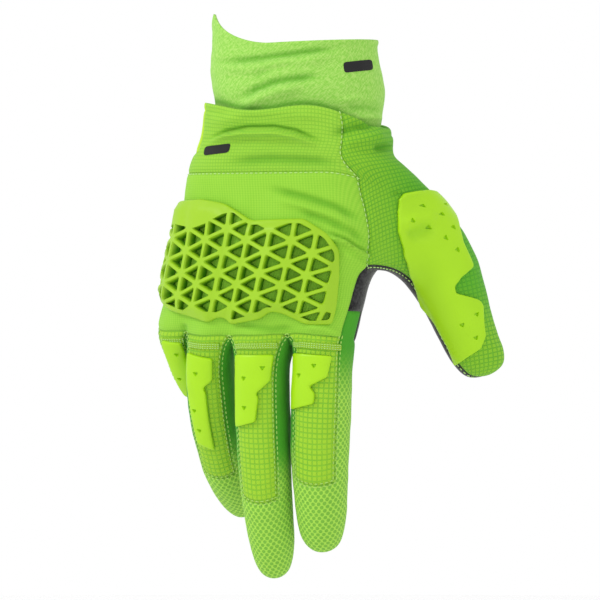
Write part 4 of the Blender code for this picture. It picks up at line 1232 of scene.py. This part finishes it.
def patchPiece(name, sheet, tree, breadth, length):
    low, high = patchSet["seat"], patchSet["seat"] + patchSet["wall"]
    corners = [(x * breadth / 2, y * length) for x, y in patchOutlines[name]]
    plate = levelled("plate", mouldLevels(corners, patchSet["round"], patchSet["bevel"], low, high))
    pits = []
    for x, y in pitPlaces[name]:
        middle = (x * breadth / 2, y * length)
        deep, wide = (rounded(triangle(middle, patchSet["pit"] * share), patchSet["pit"] * 0.4 * share, 2)
                      for share in (patchSet["pitTaper"], 1.2))
        pits.append([(deep, high - patchSet["pitDeep"]), (wide, high + 0.0002)])
    carve(plate, "DIFFERENCE", levelled("pits", *pits))
    piece = bent(sliced(plate, patchSet["step"]), name + "_mould", sheet, tree, finishes["patch"])
    # painted shade where the folds' valleys cross the patch
    tone(piece, "deep", lambda points: patchSet["crease"] * creaseShadeOf(
        foldHeights(points, points * 0.0 - viewAhead, backFolds, viewAhead)))
    own(piece, name + "_patch")
    return piece


fingerSheets = {path.form.name: Sheet([ring[-1:] + ring[:4] for ring in loops[:-1]], 4)
                for path, loops in zip(fingerPaths, fingerLoops)}
thumbSheet = Sheet([ring[-2:] + ring[:6] for ring in thumbLoops[:-1]], 7)
for path in fingerPaths:
    patchPiece(path.form.name, fingerSheets[path.form.name], coarseTree,
               path.form.breadth * fingerSet["breadth"], path.form.length)
patchPiece("thumb", thumbSheet, fineTree, thumbSet["breadth"], thumbSet["drop"])
print("patches:", len(patchOutlines))


# Stitches: a geometry tree sets small threads along lines laid on the cloth

class Growth:  # a geometry tree with named inputs, and one method for any node
    def __init__(self, name, inputs):
        self.tree = bpy.data.node_groups.new(name, "GeometryNodeTree")
        face = self.tree.interface
        face.new_socket("Geometry", in_out="INPUT", socket_type="NodeSocketGeometry")
        self.keys = {label: face.new_socket(label, in_out="INPUT", socket_type=kind).identifier
                     for label, kind in inputs.items()}
        face.new_socket("Geometry", in_out="OUTPUT", socket_type="NodeSocketGeometry")
        self.start, self.end = (self.tree.nodes.new(kind) for kind in ("NodeGroupInput", "NodeGroupOutput"))

    def add(self, kind, values=None, settings=None, output=0):
        return addNode(self.tree, kind, settings, values).outputs[output]

    def named(self, label):
        return self.start.outputs[label]

    def close(self, geometry):
        self.tree.links.new(geometry, self.end.inputs["Geometry"])

    def run(self, name, points, edges, values):
        mesh = bpy.data.meshes.new(name)
        mesh.from_pydata([tuple(point) for point in points], edges, [])
        made = linked(name, mesh)
        step = made.modifiers.new("growth", "NODES")
        step.node_group = self.tree
        for label, value in values.items():
            step[self.keys[label]] = value
        result = finished(made)
        made.modifiers.clear()
        made.data = result
        return made


def stitchGrowth():
    made = Growth("stitches", {**dict.fromkeys(("Pitch", "Thread", "Long", "Uneven"), "NodeSocketFloat"),
                               "Seed": "NodeSocketInt", "Material": "NodeSocketMaterial"})
    line = made.add("GeometryNodeMeshToCurve", {"Mesh": made.named("Geometry")})
    spots = made.tree.nodes.new("GeometryNodeCurveToPoints")
    spots.mode = "LENGTH"
    made.tree.links.new(line, spots.inputs["Curve"])
    made.tree.links.new(made.named("Pitch"), spots.inputs["Length"])
    thread = made.add("GeometryNodeMeshUVSphere", {"Segments": 6, "Rings": 4, "Radius": 1.0})
    low = made.add("ShaderNodeMath", {0: 1.0, 1: made.named("Uneven")}, {"operation": "SUBTRACT"})
    high = made.add("ShaderNodeMath", {0: 1.0, 1: made.named("Uneven")}, {"operation": "ADD"})
    spread = made.add("FunctionNodeRandomValue", {2: low, 3: high, "Seed": made.named("Seed")},
                      {"data_type": "FLOAT"}, 1)
    reach = made.add("ShaderNodeMath", {0: made.named("Long"), 1: spread}, {"operation": "MULTIPLY"})
    size = made.add("ShaderNodeCombineXYZ", {0: made.named("Thread"), 1: made.named("Thread"), 2: reach})
    placed = made.add("GeometryNodeInstanceOnPoints", {
        "Points": spots.outputs["Points"], "Instance": thread,
        "Rotation": spots.outputs["Rotation"], "Scale": size})
    solid = made.add("GeometryNodeRealizeInstances", {"Geometry": placed})
    smooth = made.add("GeometryNodeSetShadeSmooth", {"Geometry": solid})
    made.close(made.add("GeometryNodeSetMaterial", {
        "Geometry": smooth, "Material": made.named("Material")}))
    return made


def onCloth(points, raised):  # the nearest places of the cloth, raised a little
    laid = []
    for point in points:
        spot, normal, _, _ = fineTree.find_nearest(Vector(point))
        laid.append(spot + normal * raised)
    return laid


def beside(chain, offset):  # a line on the cloth that runs beside a line of the cage
    run = fine.path(chain)
    points = fine.points[run]
    ways = np.gradient(points, axis=0)
    sides = np.cross(ways, fine.normals[run])
    sides /= np.maximum(np.linalg.norm(sides, axis=1, keepdims=True), 1e-12)
    return onCloth(points + sides * offset, stitchSet["raised"])


def sewn(name, lines, pitch, thread, long, finish="thread"):
    points, edges = [], []
    for line in lines:
        edges += [(len(points) + k, len(points) + k + 1) for k in range(len(line) - 1)]
        points += line
    piece = stitches.run(name, points, edges, {
        "Pitch": pitch, "Thread": thread, "Long": long, "Uneven": stitchSet["uneven"],
        "Seed": stitchSet["seed"], "Material": finishes[finish]})
    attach(piece, "root")
    return piece


stitchSet = {
    "seed": 5, "uneven": 0.12, "pitch": 0.0023, "thread": 0.00030, "long": 0.00082, "raised": 0.00012,
    "side": 0.0011,
}
stitches = stitchGrowth()
side = stitchSet["side"]
seamLines = {
    "gusset_stitches": [beside([ring[9] for ring in bodyRows[:8]], side * 0.4)],
    "wrist_stitches": [beside(bodyRows[4][:10], side * 0.5)],
    "palm_stitches": [beside([ring[0] for ring in bodyRows[4:]], side)],
    "thumb_stitches": [beside([ring[0] for ring in thumbLoops], side),
                       beside([ring[6] for ring in thumbLoops], -side)],
}
for path, loops in zip(fingerPaths, fingerLoops):
    last = fingerSet["backRings"]
    around = [ring[0] for ring in loops[:last + 1]] + [loops[last][1]]
    around += [ring[2] for ring in loops[last::-1]]
    seamLines[path.form.name + "_stitches"] = [beside(around, -side * 0.8), beside(around, side * 0.8)]
for name, lines in seamLines.items():
    onFinger = name.split("_")[0] in patchOutlines and name != "thumb_stitches"
    sewn(name, lines, stitchSet["pitch"], stitchSet["thread"], stitchSet["long"],
         finish="greenThread" if onFinger else "thread")
print("stitched seams:", len(seamLines))


# The mesh bands at the finger roots, each held by three rows of close stitches

bandSet = {"top": 0.0031, "tall": 0.0029, "seat": 0.0002, "wall": 0.0006, "rows": 3, "inset": 0.0006,
           "pitch": 0.00115, "thread": 0.00024, "long": 0.00045, "round": 0.0008, "bevel": 0.0003,
           "step": 0.0012, "spots": 25, "margin": 0.03, "raised": 0.00008}
bandEnds = {"little": (-0.35, 0.85), "ring": (-0.72, 0.75), "middle": (-0.86, 0.88), "index": (-0.92, 0.88)}


def bandPiece(path):
    name, breadth = path.form.name, path.halfBreadth
    sheet = fingerSheets[name]
    low, high = (share * breadth for share in bandEnds[name])
    top, base = bandSet["top"], bandSet["top"] + bandSet["tall"]
    corners = [(low, top), (high, top), (high, base), (low, base)]
    levels = mouldLevels(corners, bandSet["round"], bandSet["bevel"], bandSet["seat"],
                         bandSet["seat"] + bandSet["wall"])
    piece = bent(sliced(levelled("plate", levels), bandSet["step"]), name + "_band", sheet, coarseTree,
                 finishes["band"])
    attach(piece, "root")
    lines, lift = [], bandSet["seat"] + bandSet["wall"] + bandSet["raised"]
    for row in range(bandSet["rows"]):
        along = mix(top + bandSet["inset"], base - bandSet["inset"], row / (bandSet["rows"] - 1))
        shares = np.linspace(bandSet["margin"], 1.0 - bandSet["margin"], bandSet["spots"])
        lines.append(drape([(mix(low, high, share), along, lift) for share in shares], sheet, coarseTree))
    sewn(name + "_band_stitches", lines, bandSet["pitch"], bandSet["thread"], bandSet["long"])
    return piece


for path in fingerPaths:
    tone(bandPiece(path), "bright", lambda points: np.ones(len(points)))
print("bands:", len(fingerPaths))


# The knuckle guard: a lattice of triangular cells in shares of the hand's breadth and length,
# across from the back's middle column and along from the wrist's free edge

guardSet = {
    "seat": 0.0003, "rim": 0.0022, "wall": 0.0042, "rimReach": 0.0050, "bevel": 0.0008, "round": 0.0022,
    "pitch": 0.0097, "column": 0.0103, "strut": 0.0021, "taper": 0.00025, "chamfer": 0.00034,
    "cornerRound": 0.0013, "step": 0.0021, "smallest": 5.0e-6, "deepest": 0.0009,
    "windowRound": 0.0012, "outerSkin": 0.0006, "deepFrom": 0.86, "deepSpan": 0.5,
}
guardOutline = [(-0.50, 0.335), (-0.27, 0.323), (-0.15, 0.336), (-0.11, 0.350), (0.00, 0.398),
                (0.26, 0.390), (0.38, 0.443), (0.44, 0.490), (0.47, 0.585), (0.50, 0.770),
                (0.39, 0.775), (0.25, 0.730), (0.19, 0.722), (0.16, 0.752), (0.01, 0.776),
                (-0.03, 0.748), (-0.08, 0.745), (-0.11, 0.765), (-0.28, 0.741), (-0.40, 0.720),
                (-0.56, 0.680), (-0.58, 0.550), (-0.55, 0.450)]
guardWindow = [(-0.54, 0.440), (-0.44, 0.420), (-0.30, 0.430), (-0.22, 0.410), (-0.13, 0.375),
               (-0.09, 0.370), (0.00, 0.415), (0.25, 0.407), (0.365, 0.455), (0.42, 0.500),
               (0.45, 0.585), (0.478, 0.750), (0.40, 0.757), (0.26, 0.712), (0.17, 0.705),
               (0.13, 0.735), (0.02, 0.755), (-0.03, 0.730), (-0.09, 0.725), (-0.28, 0.722),
               (-0.40, 0.700), (-0.54, 0.665), (-0.56, 0.550)]
Valley = namedtuple("Valley", "across width")
guardValleys = [Valley(-0.36, 0.035), Valley(-0.10, 0.040)]  # between the knuckles' domes


def inside(spot, outline):
    x, y = spot
    crossings = False
    for (x1, y1), (x2, y2) in zip(outline, outline[1:] + outline[:1]):
        if (y1 > y) != (y2 > y) and x < x1 + (y - y1) * (x2 - x1) / (y2 - y1):
            crossings = not crossings
    return crossings


def latticeCells(window):  # staggered columns, each triangle on one column's side
    pitch, wide = guardSet["pitch"], guardSet["column"]
    left, right = min(x for x, _ in window), max(x for x, _ in window)
    top, bottom = min(y for _, y in window), max(y for _, y in window)
    for column in range(int(left / wide) - 1, int(right / wide) + 2):
        x = column * wide
        for row in range(int(top / pitch) - 2, int(bottom / pitch) + 2):
            near = (row + (0.5 if column % 2 else 0.0)) * pitch
            far = near + pitch / 2
            for cell in ([(x, near), (x, near + pitch), (x + wide, far)],
                         [(x + wide, far), (x + wide, far - pitch), (x, near)]):
                middle = (sum(spot[0] for spot in cell) / 3, sum(spot[1] for spot in cell) / 3)
                if inside(middle, window):
                    yield cell


def edgeGap(spot, outline):  # how far a flat place lies from the outline
    near = 1.0
    for start, end in zip(outline, outline[1:] + outline[:1]):
        way = Vector(end) - Vector(start)
        share = min(1.0, max(0.0, (spot - Vector(start)).dot(way) / way.length_squared))
        near = min(near, (spot - Vector(start) - way * share).length)
    return near


def dropSmall(obj):  # cells that the window cut down to slivers stay solid
    build = bmesh.new()
    build.from_mesh(obj.data)
    left = set(build.verts)
    while left:
        island, front = set(), [left.pop()]
        while front:
            vertex = front.pop()
            island.add(vertex)
            for edge in vertex.link_edges:
                other = edge.other_vert(vertex)
                if other in left:
                    left.discard(other)
                    front.append(other)
        faces = {face for vertex in island for face in vertex.link_faces}
        area = sum(face.calc_area() for face in faces if face.normal.z > 0.9)
        if area < guardSet["smallest"]:
            bmesh.ops.delete(build, geom=list(island), context="VERTS")
    build.to_mesh(obj.data)
    build.free()


def guardPiece():
    columns = [19] + list(range(10))
    sheet = Sheet([[ring[column] for column in columns] for ring in bodyRows], 12)
    breadth, length, strut = handSet["breadth"], handSet["length"], guardSet["strut"] / 2
    outline = [(x * breadth, y * length) for x, y in guardOutline]
    window = [(x * breadth, y * length) for x, y in guardWindow]
    bevel, chamfer = guardSet["bevel"], guardSet["chamfer"]
    plate = levelled("guard_plate", [
        (rounded(grown(outline, -inward), guardSet["round"] - inward * 0.6), level)
        for inward, level in ((0.0, 0.0), (0.0, 0.70), (bevel * 0.35, 0.90), (bevel, 1.0))])
    cells = levelled("guard_cells", *[
        [(rounded(grown(cell, -strut - inward), guardSet["cornerRound"], 3), level) for inward, level
         in ((guardSet["taper"], -0.5), (0.0, 0.82), (-chamfer, 1.0), (-chamfer, 1.5))]
        for cell in latticeCells(window)])
    opening = rounded(window, guardSet["windowRound"], 3)
    carve(cells, "INTERSECT", levelled("guard_window", [(opening, -2.0), (opening, 3.0)]))
    dropSmall(cells)
    carve(plate, "DIFFERENCE", cells)
    build = sliced(plate, guardSet["step"])
    # painted shade on the cells' lower walls, darker the lower they lie, and none at the outline's edge
    shade = build.verts.layers.float.new("deep")
    for vertex in build.verts:
        across, along, level = vertex.co
        gap = edgeGap(Vector((across, along)), outline)
        valley = sum(hump(across / breadth, valley.across, valley.width) for valley in guardValleys)
        high = guardSet["wall"] - guardSet["deepest"] * min(1.0, valley)
        share = min(1.0, gap / guardSet["rimReach"])
        high = mix(guardSet["rim"], high, share * share * (3 - 2 * share))
        vertex.co.z = guardSet["seat"] + high * level
        low = min(1.0, max(0.0, (guardSet["deepFrom"] - level) / guardSet["deepSpan"]))
        vertex[shade] = low if gap > guardSet["outerSkin"] else 0.0
    piece = bent(build, "guard_mould", sheet, broadTree, finishes["guard"], 35)
    own(piece, "knuckle_guard")
    return piece


guard = guardPiece()
print("guard:", len(guard.data.polygons), "faces")


# Plain black bars, one on the cuff and one at the wrist

printSet = {"wall": 0.00022, "seat": 0.00004, "step": 0.0012, "round": 0.0014, "away": 0.2}
prints = {  # places across and down in the photo's plane, in mm
    "cuff_print": ("cuff", [(21.0, 7.4), (33.5, 5.8), (34.1, 10.4), (21.5, 12.0)]),
    "wrist_print": ("wrist", [(-39.5, 43.4), (-28.0, 42.2), (-29.0, 46.2), (-40.2, 47.4)]),
}


def printPiece(name, tree, corners):
    outline = rounded([Vector(corner) * mm for corner in corners], printSet["round"])
    plate = levelled("plate", [(outline, printSet["seat"]), (outline, printSet["wall"])])
    build = sliced(plate, printSet["step"])
    for vertex in build.verts:
        across, down, high = vertex.co
        start = viewSide * across + Vector((0.0, 0.0, -down)) - viewAhead * printSet["away"]
        spot, normal, _, _ = tree.ray_cast(start, viewAhead)
        vertex.co = spot + normal * high * (1.0 if normal.dot(viewAhead) < 0 else -1.0)
    bmesh.ops.triangulate(build, faces=build.faces[:])
    bmesh.ops.recalc_face_normals(build, faces=build.faces[:])
    piece = solidObject(name, build)
    piece.data.materials.append(finishes["mark"])
    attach(piece, "root")


def meshTree(piece):
    build = bmesh.new()
    build.from_mesh(piece.data)
    made = BVHTree.FromBMesh(build)
    build.free()
    return made


surfaces = {"cuff": meshTree(cuff), "wrist": fineTree}
for name, (surface, corners) in prints.items():
    printPiece(name, surfaces[surface], corners)
print("prints:", len(prints))


# The stage: a pale floor below the held glove, soft lights, and the photo's camera, whose pixel is in mm

stageSet = {
    "floorZ": -0.300, "floorSize": 1.15, "floorColour": (0.9, 0.9, 0.9, 1.0), "sky": (1.0, 1.0, 1.0, 1.0),
    "lookAt": (0.0, 0.0, -0.11), "distance": 2.5, "sensor": 36.0, "pixels": 600, "pixel": 0.44,
    "across": 5.0, "down": 252.0,
}


def makeStage():
    build = bmesh.new()
    bmesh.ops.create_circle(build, cap_ends=True, segments=96, radius=stageSet["floorSize"])
    bmesh.ops.translate(build, verts=build.verts, vec=(0.0, 0.0, stageSet["floorZ"]))
    floor = solidObject("floor", build)
    paint = Finish("paleFloor", Roughness=0.8, Base_Color=stageSet["floorColour"])
    floor.data.materials.append(paint.material)
    world = bpy.data.worlds.new("studio")
    world.use_nodes = True
    sky = world.node_tree.nodes["Background"]
    sky.inputs["Color"].default_value, sky.inputs["Strength"].default_value = stageSet["sky"], 1.0
    bpy.context.scene.world = world
    bpy.context.scene.view_settings.view_transform = "Standard"  # the photo's plain colours


def softLight(name, place, size, power):  # a large panel that looks at the glove's middle
    data = bpy.data.lights.new(name, "AREA")
    data.shape, data.size, data.energy = "DISK", size, power
    lamp = linked(name, data)
    lamp.location = place
    look = Vector(stageSet["lookAt"]) - Vector(place)
    lamp.rotation_euler = look.to_track_quat("-Z", "Y").to_euler()


def makeCamera():
    data = bpy.data.cameras.new("camera")
    data.sensor_width = stageSet["sensor"]
    data.lens = stageSet["sensor"] * stageSet["distance"] / (stageSet["pixels"] * stageSet["pixel"] * mm)
    camera = linked("camera", data)
    target = viewSide * stageSet["across"] * stageSet["pixel"] * mm
    target.z = -stageSet["down"] * stageSet["pixel"] * mm
    camera.location = target - viewAhead * stageSet["distance"]
    camera.rotation_euler = viewAhead.to_track_quat("-Z", "Y").to_euler()
    bpy.context.scene.camera = camera


makeStage()
makeCamera()
softLight("key", (-1.1, -1.2, 1.1), 0.6, 14.0)
softLight("fill", (1.3, -1.2, 0.2), 1.2, 2.0)
print("stage and camera")
